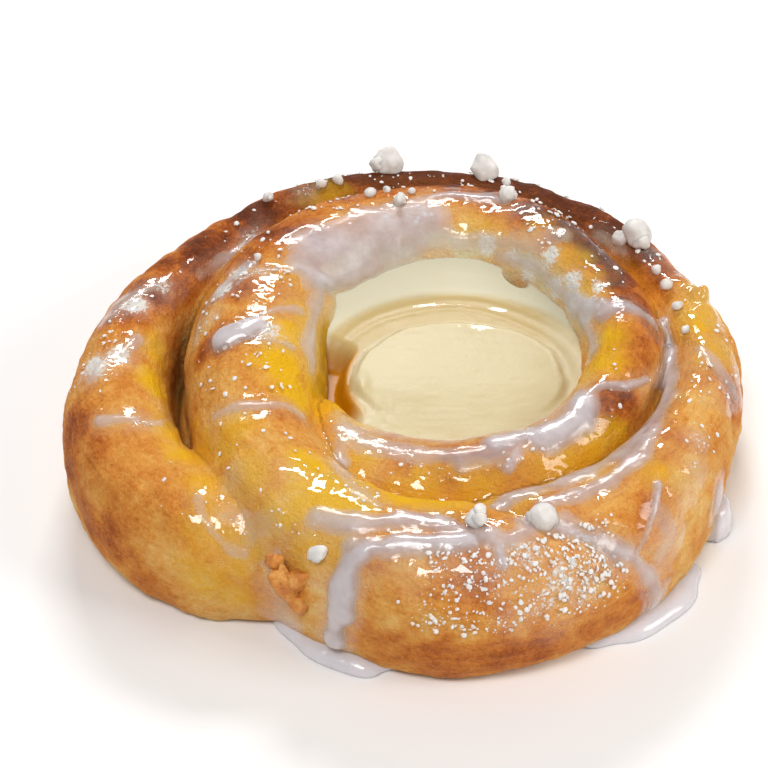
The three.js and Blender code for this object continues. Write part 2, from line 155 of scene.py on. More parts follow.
# Icing runs: (turn, angle round the section) pairs, half width, thickness.
ICING_RUNS = {
    "sheet": ([(141, 111), (130, 121), (122, 122), (111, 121), (101, 112)], 7.0, 0.75),
    "sheet_foot": ([(151, 130), (140, 135), (126, 137)], 3.6, 0.75),
    "film_rim": ([(99, 124), (83, 133), (65, 128), (53, 119)], 1.7, 0.3),
    "rim_left": ([(150, 132), (160, 138), (177, 138), (188, 134), (194, 139)], 2.1, 0.6),
    "ridge": ([(99, 92), (91, 86), (81, 86), (73, 83)], 1.6, 0.6),
    "film_back": ([(62, 119), (52, 106), (47, 92)], 2.0, 0.16),
    "film_outer": ([(406, 112), (397, 112)], 1.6, 0.16),
    "rim_right": ([(66, 141), (50, 137), (34, 141), (20, 138), (12, 138)], 1.9, 0.45),
    "flow_right": ([(20, 137), (6, 110), (5, 86), (2, 61)], 2.7, 0.75),
    "flow_drip": ([(13, 140), (3, 137), (-10, 130)], 1.5, 0.6),
    "drip_right": ([(-38, 99), (-32, 90), (-28, 70), (-20, 52)], 0.9, 0.7),
    "groove_top": ([(369, 140), (361, 144), (351, 140), (337, 128)], 2.4, 0.9),
    "groove_mid": ([(337, 128), (318, 126), (308, 124), (299, 122), (283, 122)], 3.2, 0.75),
    "groove_low": ([(325, 115), (314, 99), (303, 94), (295, 97), (288, 99)], 2.0, 0.6),
    "lobe": ([(-41, 92), (-48, 81), (-57, 83), (-66, 90), (-76, 92)], 3.5, 1.0),
    "lobe_fall": ([(-70, 83), (-76, 65)], 1.5, 0.7),
    "front_rim": ([(-77, 83), (-92, 88), (-108, 92), (-121, 88), (-133, 90)], 2.8, 0.5),
    "front_left": ([(-129, 74), (-124, 56), (241, 124)], 1.6, 0.32),
    "seam_left": ([(236, 126), (245, 108), (253, 97)], 1.6, 0.32),
    "groove_front": (
        [(244, 70), (249, 74), (254, 83), (259, 92), (265, 92), (271, 88), (275, 83)], 2.6, 0.7,
    ),
    "front_drip": (
        [(271, 81), (265, 79), (259, 74), (255, 63), (253, 47), (252, 20), (251, -20)], 2.6, 1.1,
    ),
    "drip_head": ([(252, 58), (257, 66), (263, 74)], 2.4, 0.7),
    "groove_loop": ([(275, 83), (278, 76), (282, 81), (283, 90)], 1.9, 0.6),
    "small_drip": ([(276, 76), (276, 61)], 1.3, 0.7),
    "rim_front": ([(-45, 112), (-60, 112), (-75, 116), (-92, 117), (-108, 117), (-121, 112)], 1.9, 0.26),
    "groove_end": ([(285, 90), (289, 83), (292, 63), (295, 45), (299, 32)], 2.9, 0.6),
    "right_drip": ([(299, 32), (302, 9), (305, -11), (305, -22)], 1.9, 0.6),
    "right_streak": ([(311, 68), (307, 52), (303, 36), (300, 22)], 0.9, 0.8),
    "right_veil": ([(308, 43), (309, 22), (306, 14)], 2.4, 0.22),
    "tongue_film": ([(-124, 86), (-131, 92), (-137, 97)], 2.0, 0.2),
    "drop_left": ([(187, 74), (186, 83), (184, 92)], 3.1, 1.4),
    "drop_tail": ([(181, 92), (176, 106), (173, 124)], 1.4, 0.5),
    "drop_foot": ([(190, 94), (191, 117)], 0.9, 0.5),
    "streak_left": ([(560, 72), (561, 86), (562, 97)], 1.3, 0.5),
    "streak_left_end": ([(563, 106), (563, 119), (559, 144)], 0.8, 0.3),
    "strip_inner": ([(212, 54), (212, 72), (213, 90), (213, 110), (215, 126)], 1.2, 0.45),
    "dab_left": ([(551, 72), (547, 83), (545, 97), (541, 108)], 1.3, 0.4),
    "dab_top": ([(536, 74), (532, 76), (528, 88), (526, 96)], 1.3, 0.3),
    "crust_edge": ([(170, 54), (166, 58), (163, 70), (158, 70)], 1.4, 0.5),
    "crust_side": ([(181, 38), (174, 40), (170, 50)], 1.0, 0.3),
    "arc_inner": ([(166, 74), (161, 83), (157, 94), (154, 112)], 0.8, 0.3),
    "film_left_back": ([(500, 126), (508, 128), (516, 126)], 1.5, 0.2),
    "tail_edge": ([(581, 83), (582, 70), (584, 52), (586, 38), (588, 36)], 1.0, 0.24),
    "film_edge": ([(237, 9), (240, 16), (240, 25)], 1.0, 0.24),
    "crossing_film": ([(585, 75), (588, 62), (234, 20), (237, 40)], 2.6, 0.14),
    "tail_film": ([(240, 12), (241, -5), (241, -20)], 2.6, 0.16),
    "right_blob": ([(327, 9), (326, -4)], 1.6, 0.9),
    "dab_shoulder": ([(355, 97), (348, 72), (345, 43)], 1.3, 0.4),
}

# Clear glaze that only wets the crust and clouds it a little, given the same way.
GLAZE_RUNS = {
    "crossing": ([(230, 38), (233, 65), (237, 83), (242, 88)], 6.5),
    "crossing_low": ([(584, 50), (588, 52), (592, 50)], 4.5),
    "crossing_foot": ([(250, 30), (243, 43), (238, 50)], 5.0),
    "front_inner": ([(-120, 52), (-106, 58), (-92, 63), (-73, 52)], 6.0),
    "right_side": ([(325, 76), (313, 43), (307, 7)], 5.0),
    "right_top": ([(365, 124), (347, 94), (339, 70)], 4.5),
    "back": ([(93, 110), (72, 101), (47, 99), (29, 88)], 6.0),
    "left_top": ([(169, 86), (163, 101), (161, 122)], 4.5),
    "outer_left": ([(528, 112), (524, 115), (516, 117)], 3.5),
    "outer_film": ([(393, 86), (379, 92), (371, 76), (357, 70), (347, 38)], 3.0),
    "front_lobe": ([(256, 70), (268, 66), (280, 60)], 3.0),
}

# Where the crust baked darkest: turn, angle round the section, radius, strength.
BROWN_SPOTS = [
    (478, 92, 8, 0.85), (464, 97, 9, 1.1), (450, 97, 9, 1.15), (437, 97, 9, 1.15), (426, 97, 9, 1.15),
    (416, 95, 9, 1.1), (406, 100, 8, 1.0), (399, 80, 8, 0.8), (395, 108, 7, 0.8), (382, 122, 6, 0.5),
    (492, 92, 8, 0.75), (505, 100, 8, 0.7), (514, 104, 8, 0.65), (521, 108, 7, 0.7), (527, 101, 7, 0.6),
    (464, 70, 8, 0.9), (450, 70, 8, 0.9), (437, 70, 8, 0.9), (424, 70, 8, 0.9), (410, 70, 8, 0.8),
    (534, 90, 6, 0.5), (506, 126, 6, 0.6), (75, 88, 6, 0.5), (62, 85, 7, 0.8), (48, 84, 7, 0.9),
    (35, 82, 7, 0.9), (22, 80, 7, 0.85), (10, 75, 6, 0.7), (1, 58, 5, 0.6), (88, 70, 6, 0.5),
    (105, 66, 6, 0.45), (122, 64, 6, 0.45), (167, 78, 5, 0.55), (185, 70, 5, 0.45), (187, 52, 5, 0.5),
    (146, 68, 6, 0.65), (139, 81, 6, 0.35), (155, 62, 5, 0.6), (558, 40, 6, 0.5), (562, 18, 6, 0.6),
    (566, 4, 7, 0.6), (571, 0, 7, 0.55), (577, -14, 7, 0.5), (564, 58, 6, 0.3), (591, 0, 5, 0.45),
    (268, -14, 8, 0.65), (275, -12, 8, 0.6), (281, -12, 8, 0.6), (261, -10, 8, 0.5), (291, -10, 8, 0.5),
    (300, -8, 8, 0.45), (272, 45, 6, 0.35), (345, 40, 6, 0.4), (329, 11, 6, 0.5), (319, -4, 6, 0.35),
    (331, 47, 5, 0.3), (-33, 65, 6, 0.6), (-42, 50, 6, 0.55), (-18, 68, 5, 0.45), (-10, 86, 5, 0.5),
    (-92, 74, 5, 0.5), (-82, 76, 5, 0.45), (307, 43, 5, 0.3), (484, 100, 8, 0.85), (474, 96, 8, 1.0),
    (498, 92, 8, 0.9), (510, 94, 8, 0.9), (519, 96, 7, 0.75), (516, 106, 6, 0.9), (512, 97, 6, 0.9),
    (507, 97, 6, 0.9), (-106, 70, 4, 0.35), (457, 84, 9, 1.15), (443, 82, 9, 1.15), (430, 80, 9, 1.15),
    (470, 84, 8, 1.0), (384, 104, 6, 0.5),
]

# Where it stayed pale: turn, angle round the section, radius, strength.
PALE_SPOTS = [
    (332, 60, 8, 0.8), (320, 42, 8, 0.8), (318, 15, 8, 0.8), (326, 30, 7, 0.7), (309, 30, 6, 0.5),
    (244, 70, 5, 0.8), (236, 30, 5, 0.6), (241, 45, 6, 0.8), (247, 30, 5, 0.8), (250, 12, 6, 0.7),
    (584, 20, 6, 0.4), (-135, 100, 5, 0.8), (-128, 92, 5, 0.6), (372, 88, 7, 0.6), (365, 84, 6, 0.5),
    (80, 128, 5, 0.6), (60, 128, 5, 0.6), (40, 124, 5, 0.6), (22, 126, 5, 0.6), (213, 80, 6, 0.3),
    (205, 70, 6, 0.2), (592, 12, 6, 0.4), (183, 36, 7, 0.9), (191, 30, 6, 0.7), (246, 52, 5, 0.9),
    (243, 58, 6, 1.0), (239, 56, 8, 1.0), (236, 90, 6, 0.8), (230, 60, 7, 0.8), (226, 82, 6, 0.6),
    (234, 85, 7, 0.8), (247, 95, 5, 0.6), (-118, 52, 6, 0.6), (590, 30, 6, 0.5), (-148, 115, 5, 0.8),
    (-140, 105, 5, 0.8), (245, 74, 4, 1.0), (244, 52, 4, 1.0), (250, 50, 4, 0.9), (239, 54, 4, 0.8),
    (228, 63, 4, 0.5), (-124, 86, 4, 0.8), (-137, 97, 4, 0.8),
]

# Where the dough shows a deep egg yellow: turn, angle round the section, radius, strength.
YOLK_SPOTS = [
    (198, 112, 6, 0.9), (186, 115, 5, 0.8), (205, 126, 6, 0.9), (199, 153, 5, 0.7), (-151, 115, 6, 0.9),
    (244, 90, 6, 0.95), (247, 92, 5, 0.9), (241, 70, 5, 0.7), (236, 45, 5, 0.6), (588, 52, 6, 0.6),
    (-121, 56, 6, 0.7), (246, 126, 5, 0.6), (256, 126, 6, 0.8), (266, 128, 6, 0.8), (-85, 43, 6, 0.8),
    (-100, 45, 6, 0.8), (286, 124, 5, 0.6), (-60, 40, 6, 0.7), (-47, 40, 6, 0.7), (-21, 112, 5, 0.7),
    (-9, 112, 5, 0.7), (22, 122, 5, 0.6), (37, 112, 5, 0.5), (573, 128, 5, 0.7), (580, 99, 4, 0.5),
    (563, 137, 5, 0.8), (550, 137, 5, 0.8), (540, 135, 5, 0.6), (584, 58, 6, 0.5), (583, 7, 5, 0.4),
    (587, -2, 4, 0.4), (480, 112, 5, 0.4), (364, 90, 6, 0.6), (355, 72, 6, 0.5), (372, 65, 5, 0.6),
    (77, 126, 5, 0.5), (56, 99, 4, 0.3), (245, 38, 5, 0.5), (185, 148, 7, 0.95), (175, 148, 7, 0.9),
    (194, 146, 6, 0.9), (166, 146, 5, 0.6), (243, 78, 4, 0.9), (181, 152, 6, 1.0), (172, 152, 6, 1.0),
    (190, 152, 6, 1.0), (241, 92, 5, 1.0), (243, 99, 4, 1.0), (227, 60, 4, 0.5), (304, 126, 5, 0.6),
    (-40, 34, 5, 0.7), (584, 56, 4, 0.5), (-65, 48, 5, 0.6), (241, 9, 4, 0.5), (250, 50, 4, 0.4),
    (220, 52, 4, 0.4), (217, 68, 4, 0.4), (157, 104, 4, 0.3), (313, 81, 4, 0.4), (228, 60, 5, 0.5),
    (234, 100, 5, 0.6), (233, 99, 4, 0.9), (249, 94, 4, 1.0), (239, 54, 3, 0.7), (237, 79, 3, 0.5),
    (195, 160, 5, 1.0), (203, 158, 5, 1.0), (-97, 54, 4, 0.6), (-106, 52, 4, 0.6), (587, 63, 4, 0.5),
]

# Where a deep edge gets painted shade: turn, angle round the section, radius, strength.
PAINTED_SHADE_SPOTS = [(176, 160, 5, 0.6), (186, 160, 5, 0.6), (168, 158, 4, 0.5), (194, 160, 4, 0.5)]

# Fine white sugar dust that dried on the crust: turn, angle round the section, radius, strength.
FROST = [
    (532, 92, 4.0, 0.9), (546, 94, 4.0, 0.8), (548, 74, 4.5, 0.9), (525, 104, 3.5, 0.7),
    (562, 99, 3.5, 0.6), (161, 65, 4.5, 0.9), (167, 61, 3.5, 0.9), (186, 99, 3.5, 0.8),
    (177, 58, 3.0, 0.6), (160, 86, 4.0, 0.6), (151, 106, 4.0, 0.5), (20, 104, 2.2, 0.9),
    (45, 119, 2.2, 0.9), (67, 88, 3.5, 0.5), (119, 63, 4.0, 0.4), (15, 133, 3.5, 1.0),
    (26, 142, 3.5, 1.0), (36, 142, 3.0, 1.0), (51, 142, 3.0, 0.9), (275, 52, 6.0, 0.55),
    (281, 61, 6.0, 0.6), (285, 36, 6.5, 0.7), (289, 25, 6.0, 0.65), (282, 29, 6.0, 0.6),
    (277, 20, 5.5, 0.5), (271, 54, 5.0, 0.5), (284, 7, 5.0, 0.45), (292, 45, 5.0, 0.5),
    (262, 60, 6.0, 0.4), (268, 68, 6.0, 0.45), (275, 70, 5.0, 0.45), (256, 50, 5.0, 0.3),
    (322, 45, 3.5, 0.5), (326, 68, 3.5, 0.6), (225, 47, 3.0, 0.4), (483, 88, 3.5, 0.5),
    (393, 86, 3.0, 0.5), (73, 132, 3.0, 0.9), (60, 135, 3.0, 0.8), (30, 128, 3.0, 0.9),
    (20, 135, 3.0, 0.8), (45, 132, 2.5, 0.7), (88, 135, 2.5, 0.6), (500, 126, 4.0, 0.6),
]

# Puddles of set icing at the foot: place from the well, half length and width, height, heading.
PUDDLES = [
    (-20.2, -49.3, 11.5, 5.4, 2.6, -32),
    (31.0, -41.0, 13.4, 6.2, 2.4, 41),
    (45.3, -22.9, 4.2, 2.6, 6.4, 78),
]

# Custard, from the well's centre: its level, the spoon's ledge, the spoonful on top and a pit.
CUSTARD_RADIUS = 31.0
CUSTARD_LEVEL = 19.2
LEDGE = {"x": 0.0, "y": -6.0, "rx": 24.5, "ry": 21.8}
DOLLOP = {"x": 1.0, "y": -5.6, "rx": 18.9, "ry": 14.4, "rise": 1.3}
GLOSS_SPOTS = [(5.1, 7.2, 3.2, 1.4), (-6.6, 15.6, 4.5, 0.9), (-2.0, 13.4, 7.0, 0.7), (8.0, 12.6, 3.0, 0.7)]
PIT = {"x": 11.4, "y": 18.6, "rx": 2.8, "ry": 1.2, "heading": -40, "depth": 2.2}

# The largest pearl sugar: turn, angle round the section, size.
PEARLS = [
    (464, 70, 6.0), (442, 70, 5.4), (397, 88, 6.4), (492, 79, 2.5), (480, 88, 2.5),
    (476, 88, 2.2), (114, 76, 2.5), (109, 74, 1.8), (107, 92, 2.8), (73, 79, 3.2),
    (436, 88, 1.9), (385, 101, 2.2), (379, 104, 2.5), (371, 108, 2.2), (362, 110, 1.8),
    (273, 92, 4.3), (287, 90, 4.6), (247, 43, 3.5), (155, 76, 1.8), (102, 81, 1.6),
]

# The camera, at the photograph's angle, and the floor it sees.
CAMERA_ELEVATION = 43.0
CAMERA_DISTANCE = 450.0
CAMERA_TARGET = (-3.87, 5.48, 12.0)
PIXELS_PER_MM = 5.64
FRAME_PIXELS = 768
SENSOR = 36.0
FLOOR_SIZE = 1800.0


def lattice_noise(points, size, seed):
    """Smooth noise from -1 to 1 at points in millimetres, with lumps of about that size."""
    cells = 32
    table = np.random.default_rng(seed).uniform(-1, 1, (cells, cells, cells))
    p = np.asarray(points, float) / size + 100.0
    whole = np.floor(p).astype(int)
    part = p - whole
    part = part * part * (3 - 2 * part)
    total = np.zeros(len(p))
    for corner in range(8):
        step = np.array([corner & 1, corner >> 1 & 1, corner >> 2 & 1])
        at = (whole + step) % cells
        weight = np.prod(np.where(step == 1, part, 1 - part), axis=1)
        total += table[at[:, 0], at[:, 1], at[:, 2]] * weight
    return total


def smoothstep(value, low, high):
    t = np.clip((value - low) / (high - low), 0, 1)
    return t * t * (3 - 2 * t)


def station(turn, column):
    """One column of the stations at each turn, on the smooth curve that the CAD part follows."""
    at, value = STATIONS[:, 0], STATIONS[:, column]
    low = np.maximum(np.arange(len(at)) - 1, 0)
    high = np.minimum(np.arange(len(at)) + 1, len(at) - 1)
    slope = (value[high] - value[low]) / (at[high] - at[low])
    i = np.clip(np.searchsorted(at, turn, side="left") - 1, 0, len(at) - 2)
    span = at[i + 1] - at[i]
    t = (turn - at[i]) / span
    smooth = t * t * (3 - 2 * t)
    start, end = t * (1 - t) ** 2, t * t * (1 - t)
    return value[i] + (value[i + 1] - value[i]) * smooth + span * (start * slope[i] - end * slope[i + 1])


def centre_line(turn):
    a = np.radians(turn)
    r = station(turn, RADIUS)
    return np.stack([WELL[0] + r * np.cos(a), WELL[1] + r * np.sin(a)], -1)


def rope_frame(turn):
    """The centre of the rope and its heading, both level, at each turn."""
    turn = np.clip(turn, FIRST_TURN, LAST_TURN)
    ahead = centre_line(np.minimum(turn + 1, LAST_TURN)) - centre_line(np.maximum(turn - 1, FIRST_TURN))
    heading = ahead / np.linalg.norm(ahead, axis=-1, keepdims=True)
    return centre_line(turn), heading


def relief(turn, around):
    """Lumps and folds of the crust, the same as in the CAD part."""
    a = np.radians(around)
    lumps = 0.32 * np.sin(a * 2 + turn / 11) + 0.26 * np.sin(np.radians(turn * 5.1) + a)
    folds = sum(
        -depth * np.exp(-(((turn - at - slant * (around - 90)) / width) ** 2))
        for at, slant, width, depth in FOLDS
    )
    return lumps + folds * smoothstep(np.sin(a), -0.1, 0.5)


def section(turn, swell=0.0):
    """Half width, middle height, height above it and depth below it, at each turn."""
    tip = np.clip(np.minimum(turn - FIRST_TURN, LAST_TURN - turn) / TIP_TURNS, 0, 1)
    taper = np.maximum(np.sqrt(1 - (1 - tip) ** 2), 0.3)
    crest = station(turn, CREST)
    middle = crest * WIDEST
    swell = swell * taper
    return (
        station(turn, HALF_WIDTH) * taper + swell,
        middle,
        (crest - middle) * taper + swell,
        middle * taper + FOOT_CUT + swell,
    )


def squareness(height):
    """The section is squarer below its widest height than above it."""
    return np.where(height >= 0, UPPER_SQUARENESS, LOWER_SQUARENESS)


def skin(turn, around):
    """Points on the rope's skin. Around is 0 on the outside of the coil and 90 on its crest."""
    turn, around = np.broadcast_arrays(np.asarray(turn, float), np.asarray(around, float))
    centre, heading = rope_frame(turn)
    half, middle, above, below = section(turn, relief(turn, around))
    a = np.radians(around)
    power = squareness(np.sin(a))
    out = half * np.sign(np.cos(a)) * np.abs(np.cos(a)) ** power
    up = np.where(np.sin(a) > 0, above, below) * np.sign(np.sin(a)) * np.abs(np.sin(a)) ** power
    return np.stack(
        [
            centre[..., 0] + heading[..., 1] * out,
            centre[..., 1] - heading[..., 0] * out,
            np.maximum(middle + up, 0),
        ],
        -1,
    )


def rope_coordinates(points):
    """For each point: turn, angle round the section, how far out it is, and the same for the next coil.

    How far out is 1 on the skin. The next coil's value nears the first one in the grooves.
    """
    polar = np.degrees(np.arctan2(points[:, 1] - WELL[1], points[:, 0] - WELL[0]))
    found = []
    for lap in range(-1, 3):
        turn = polar + 360 * lap
        outside = (turn < FIRST_TURN - 12) | (turn > LAST_TURN + 12)
        turn = np.clip(turn, FIRST_TURN, LAST_TURN)
        for _ in range(4):
            centre, heading = rope_frame(turn)
            along = ((points[:, :2] - centre) * heading).sum(1)
            turn = np.clip(turn + np.degrees(along / station(turn, RADIUS)), FIRST_TURN, LAST_TURN)
        centre, heading = rope_frame(turn)
        offset = points[:, :2] - centre
        along = np.abs((offset * heading).sum(1))
        out = offset[:, 0] * heading[:, 1] - offset[:, 1] * heading[:, 0]
        half, middle, above, below = section(turn)
        up = points[:, 2] - middle
        power = 1 / squareness(up)
        x = np.sign(out) * np.abs(out / half) ** power
        y = np.sign(up) * np.abs(up / np.where(up > 0, above, below)) ** power
        far = np.hypot(x, y) + along / 8
        found.append((np.where(outside, 9.0, far), turn, np.degrees(np.arctan2(y, x))))
    far, turn, around = (np.stack([lap[k] for lap in found]) for k in range(3))
    order = np.argsort(far, axis=0)
    here = np.arange(far.shape[1])
    best, second = order[0], order[1]
    return turn[best, here], around[best, here], far[best, here], far[second, here]


def object_from(name, points, faces):
    """A new object with a mesh in metres, from points in millimetres."""
    mesh = bpy.data.meshes.new(name)
    mesh.from_pydata((np.asarray(points) * MM).tolist(), [], [list(f) for f in faces])
    mesh.validate()
    mesh.update()
    made = bpy.data.objects.new(name, mesh)
    bpy.context.scene.collection.objects.link(made)
    return made


def gathered(parts, start=0):
    """Many small meshes, given as points and faces, as the points and faces of one."""
    points, faces = [], []
    for part_points, part_faces in parts:
        points.append(part_points)
        faces.append(part_faces + start)
        start += len(part_points)
    return np.concatenate(points), np.concatenate(faces)


def smooth_shaded(piece):
    piece.data.polygons.foreach_set("use_smooth", [True] * len(piece.data.polygons))
    piece.data.update()


def set_attribute(piece, name, values):
    attribute = piece.data.attributes.new(name, "FLOAT", "POINT")
    attribute.data.foreach_set("value", np.asarray(values, np.float32))


def grid_faces(rows, columns, start=0, closed=True):
    """Quads of a grid whose rows are rings."""
    r, k = np.meshgrid(np.arange(rows - 1), np.arange(columns if closed else columns - 1), indexing="ij")
    a = start + r * columns + k
    b = start + r * columns + (k + 1) % columns
    return np.stack([a, a + columns, b + columns, b], -1).reshape(-1, 4)


def rope_loft():
    """The whole rope as one closed skin, which passes through itself where the coils touch."""
    turns = np.linspace(FIRST_TURN, LAST_TURN, ROPE_RINGS)
    arounds = np.arange(ROPE_POINTS) * 360 / ROPE_POINTS
    rings = skin(turns[:, None], arounds[None, :])
    points = rings.reshape(-1, 3)
    faces = [tuple(f) for f in grid_faces(ROPE_RINGS, ROPE_POINTS)]
    faces.append(tuple(range(ROPE_POINTS)))
    last = (ROPE_RINGS - 1) * ROPE_POINTS
    faces.append(tuple(range(last + ROPE_POINTS - 1, last - 1, -1)))
    return points, faces


def floor_loft(start):
    """The dough under the custard and in the clefts, down to the table."""
    sides = 144
    turn = LAST_TURN - 360 + np.arange(sides) * 360 / sides
    a = np.radians(turn)
    rings = []
    for inset, z in ((0, 0), (0, FLOOR_HEIGHT - 1), (1, FLOOR_HEIGHT)):
        r = station(turn, RADIUS) - FLOOR_INSET - inset
        rings.append(np.stack([WELL[0] + r * np.cos(a), WELL[1] + r * np.sin(a), np.full(sides, z)], -1))
    points = np.concatenate(rings)
    faces = [tuple(reversed(f)) for f in grid_faces(len(rings), sides, start)]
    last = start + (len(rings) - 1) * sides
    faces.append(tuple(range(start + sides - 1, start - 1, -1)))
    faces.append(tuple(range(last, last + sides)))
    return points, faces


def bridge_points():
    """Places and radii, close together, along the seam of the tail."""
    stops = np.array(BRIDGE)
    steps = np.linspace(0, len(stops) - 1, 13)
    line = np.stack([np.interp(steps, np.arange(len(stops)), stops[:, k]) for k in range(4)], -1)
    return line[:, :3] + [*WELL, 0], line[:, 3]


def bridge_lumps(start):
    """The seam where the tail has grown together with the coil beside it, as overlapping balls."""
    rng = np.random.default_rng(63)
    balls = []
    for place, radius in zip(*bridge_points()):
        p, f = lump(2 * radius, 3, rng, 1.2)
        p = p / 1.2 + place
        p[:, 2] = np.maximum(p[:, 2], 0.3)
        balls.append((p, f))
    points, faces = gathered(balls, start)
    return points, [tuple(f) for f in faces]


def build_flake():
    """The torn, crisp nub of crust at the front: a few sharp flakes that point down."""
    rng = np.random.default_rng(64)
    middle = skin(*NUB)
    flakes = []
    for place, half, lean in FLAKES:
        p, f = lump(2.0, 3, rng, 1.0)
        # Each flake tapers to its lower end.
        p[:, :2] *= 0.12 + 0.88 * smoothstep(p[:, 2:3], -1.2, 0.6)
        p = p * (1 + 0.24 * lattice_noise(p + 9 * lean, 0.45, 66))[:, None]
        p = p * half
        a = math.radians(lean)
        p = p @ np.array([[math.cos(a), 0, -math.sin(a)], [0, 1, 0], [math.sin(a), 0, math.cos(a)]]).T
        flakes.append((p + middle + place, f))
    flake = object_from("crust_flake", *gathered(flakes))
    smooth_shaded(flake)
    return flake


def fused(points, faces, voxel):
    """The outer skin of closed shells that pass through each other, as points and quads."""
    raw = object_from("raw", points, faces)
    remesh = raw.modifiers.new("fuse", "REMESH")
    remesh.mode = "VOXEL"
    remesh.voxel_size = voxel * MM
    graph = bpy.context.evaluated_depsgraph_get()
    mesh = raw.evaluated_get(graph).to_mesh()
    made = np.zeros(len(mesh.vertices) * 3)
    mesh.vertices.foreach_get("co", made)
    loops = np.zeros(len(mesh.loops), int)
    mesh.loops.foreach_get("vertex_index", loops)
    quads = loops.reshape(-1, 4)
    raw.evaluated_get(graph).to_mesh_clear()
    bpy.data.objects.remove(raw)
    return made.reshape(-1, 3) / MM, quads


def edges_of(quads):
    pairs = np.concatenate([quads[:, [0, 1]], quads[:, [1, 2]], quads[:, [2, 3]], quads[:, [3, 0]]])
    return np.unique(np.sort(pairs, axis=1), axis=0)


def relaxed(points, edges, rounds, share=0.5):
    """Points moved towards the mean of their neighbours, round after round."""
    count = np.maximum(np.bincount(edges.ravel(), minlength=len(points)), 1)[:, None]
    for _ in range(rounds):
        total = np.stack(
            [
                np.bincount(edges[:, 0], points[edges[:, 1], k], len(points))
                + np.bincount(edges[:, 1], points[edges[:, 0], k], len(points))
                for k in range(3)
            ],
            -1,
        )
        points = points + share * (total / count - points)
    return points


def normals_of(points, quads):
    across = np.cross(
        points[quads[:, 2]] - points[quads[:, 0]],
        points[quads[:, 3]] - points[quads[:, 1]],
    )
    total = np.zeros_like(points)
    for k in range(4):
        for axis in range(3):
            total[:, axis] += np.bincount(quads[:, k], across[:, axis], len(points))
    return total / np.maximum(np.linalg.norm(total, axis=1, keepdims=True), 1e-12)


def fin(points):
    """The thin lip of crust that stands up at the right edge, as a height over the skin."""
    rise = np.zeros(len(points))
    for turn, around, height, radius in FIN:
        d = np.linalg.norm(points - skin(turn, around), axis=1)
        rise = np.maximum(rise, height * np.exp(-((d / radius) ** 2)))
    return rise


def crust_detail(points, turn, around):
    """Fine unevenness of a baked crust, in millimetres out of the surface."""
    arc = np.radians(turn) * station(turn, RADIUS)
    girth = np.radians(around) * SECTION_RADIUS
    streaks = np.stack([arc / 5.0 + girth / 9.0, girth / 1.1, np.zeros_like(arc)], -1)
    return (
        0.30 * lattice_noise(points, 8.0, 1)
        + 0.20 * lattice_noise(points, 3.1, 2)
        + 0.15 * lattice_noise(points, 1.5, 3)
        + 0.12 * lattice_noise(streaks, 1.0, 4)
    )


def run_points(route, spacing=0.8):
    """Points along a run, on the skin, for a route of (turn, around) pairs."""
    route = np.array(route, float)
    made = [skin(route[-1:, 0], route[-1:, 1])]
    for a, b in zip(route[:-1], route[1:]):
        start, end = skin(a[0], a[1]), skin(b[0], b[1])
        steps = max(int(np.linalg.norm(end - start) / spacing), 2)
        t = np.linspace(0, 1, steps, endpoint=False)[:, None]
        if abs(a[0] - b[0]) > 180:
            # From one coil straight across to the next.
            made.append(start + (end - start) * t)
        else:
            path = a + (b - a) * t
            made.append(skin(path[:, 0], path[:, 1]))
    return np.concatenate(made)


def nearest(points, targets):
    """Distance from each point to the nearest target."""
    best = np.full(len(points), 1e9)
    for target in targets:
        np.minimum(best, ((points - target) ** 2).sum(1), out=best)
    return np.sqrt(best)


def run_field(points, route, half):
    """1 in the middle of a run, 0 on its edge and negative beyond it, within reach of it."""
    path = run_points(route)
    reach = half * 3 + 4
    low, high = path.min(0) - reach, path.max(0) + reach
    near = np.all((points > low) & (points < high), axis=1)
    field = np.full(len(points), -4.0)
    field[near] = 1 - nearest(points[near], path) / half
    return np.maximum(field, -4.0)


def icing_thickness(points):
    """Thickness of icing over each point of the crust, negative where there is none."""
    wobble = 0.46 * lattice_noise(points, 4.6, 11) + 0.14 * lattice_noise(points, 1.8, 12)
    thickness = np.full(len(points), -1.5)
    for route, half, thick in ICING_RUNS.values():
        field = run_field(points, route, half) + wobble * min(1.0, 3.0 / half)
        share = np.clip(field, 0, 1)
        # A wide sheet is flat nearly to its edge, a narrow run is round.
        inside = thick * (share * (2 - share)) ** (0.7 if half > 5 else 1.15)
        outside = np.minimum(field, 0) * half * 0.5
        thickness = np.maximum(thickness, inside + outside)
    return thickness


def glaze_field(points, thickness):
    """How wet the crust looks, from 0 to 1."""
    field = smoothstep(thickness, -1.2, 0.0)
    wobble = 0.35 * lattice_noise(points, 3.0, 14) + 0.2 * lattice_noise(points, 1.2, 15)
    for route, half in GLAZE_RUNS.values():
        field = np.maximum(field, smoothstep(run_field(points, route, half) + wobble, 0.0, 0.35) * 0.85)
    return field


def thinned(piece, share):
    """Fewer faces where the surface is flat, such as the underside."""
    modifier = piece.modifiers.new("thinned", "DECIMATE")
    modifier.ratio = share
    with bpy.context.temp_override(object=piece):
        bpy.ops.object.modifier_apply(modifier=modifier.name)


def spot_field(points, spots):
    """How strongly a point lies in one of the spots, from 0 to 1."""
    field = np.zeros(len(points))
    wobble = 1 + 0.3 * lattice_noise(points, 3.0, 17) + 0.2 * lattice_noise(points, 1.2, 18)
    for turn, around, radius, strength in spots:
        d = np.linalg.norm(points - skin(turn, around), axis=1) * wobble
        field = np.maximum(field, strength * (1 - smoothstep(d, 0.2 * radius, 1.3 * radius)))
    return field


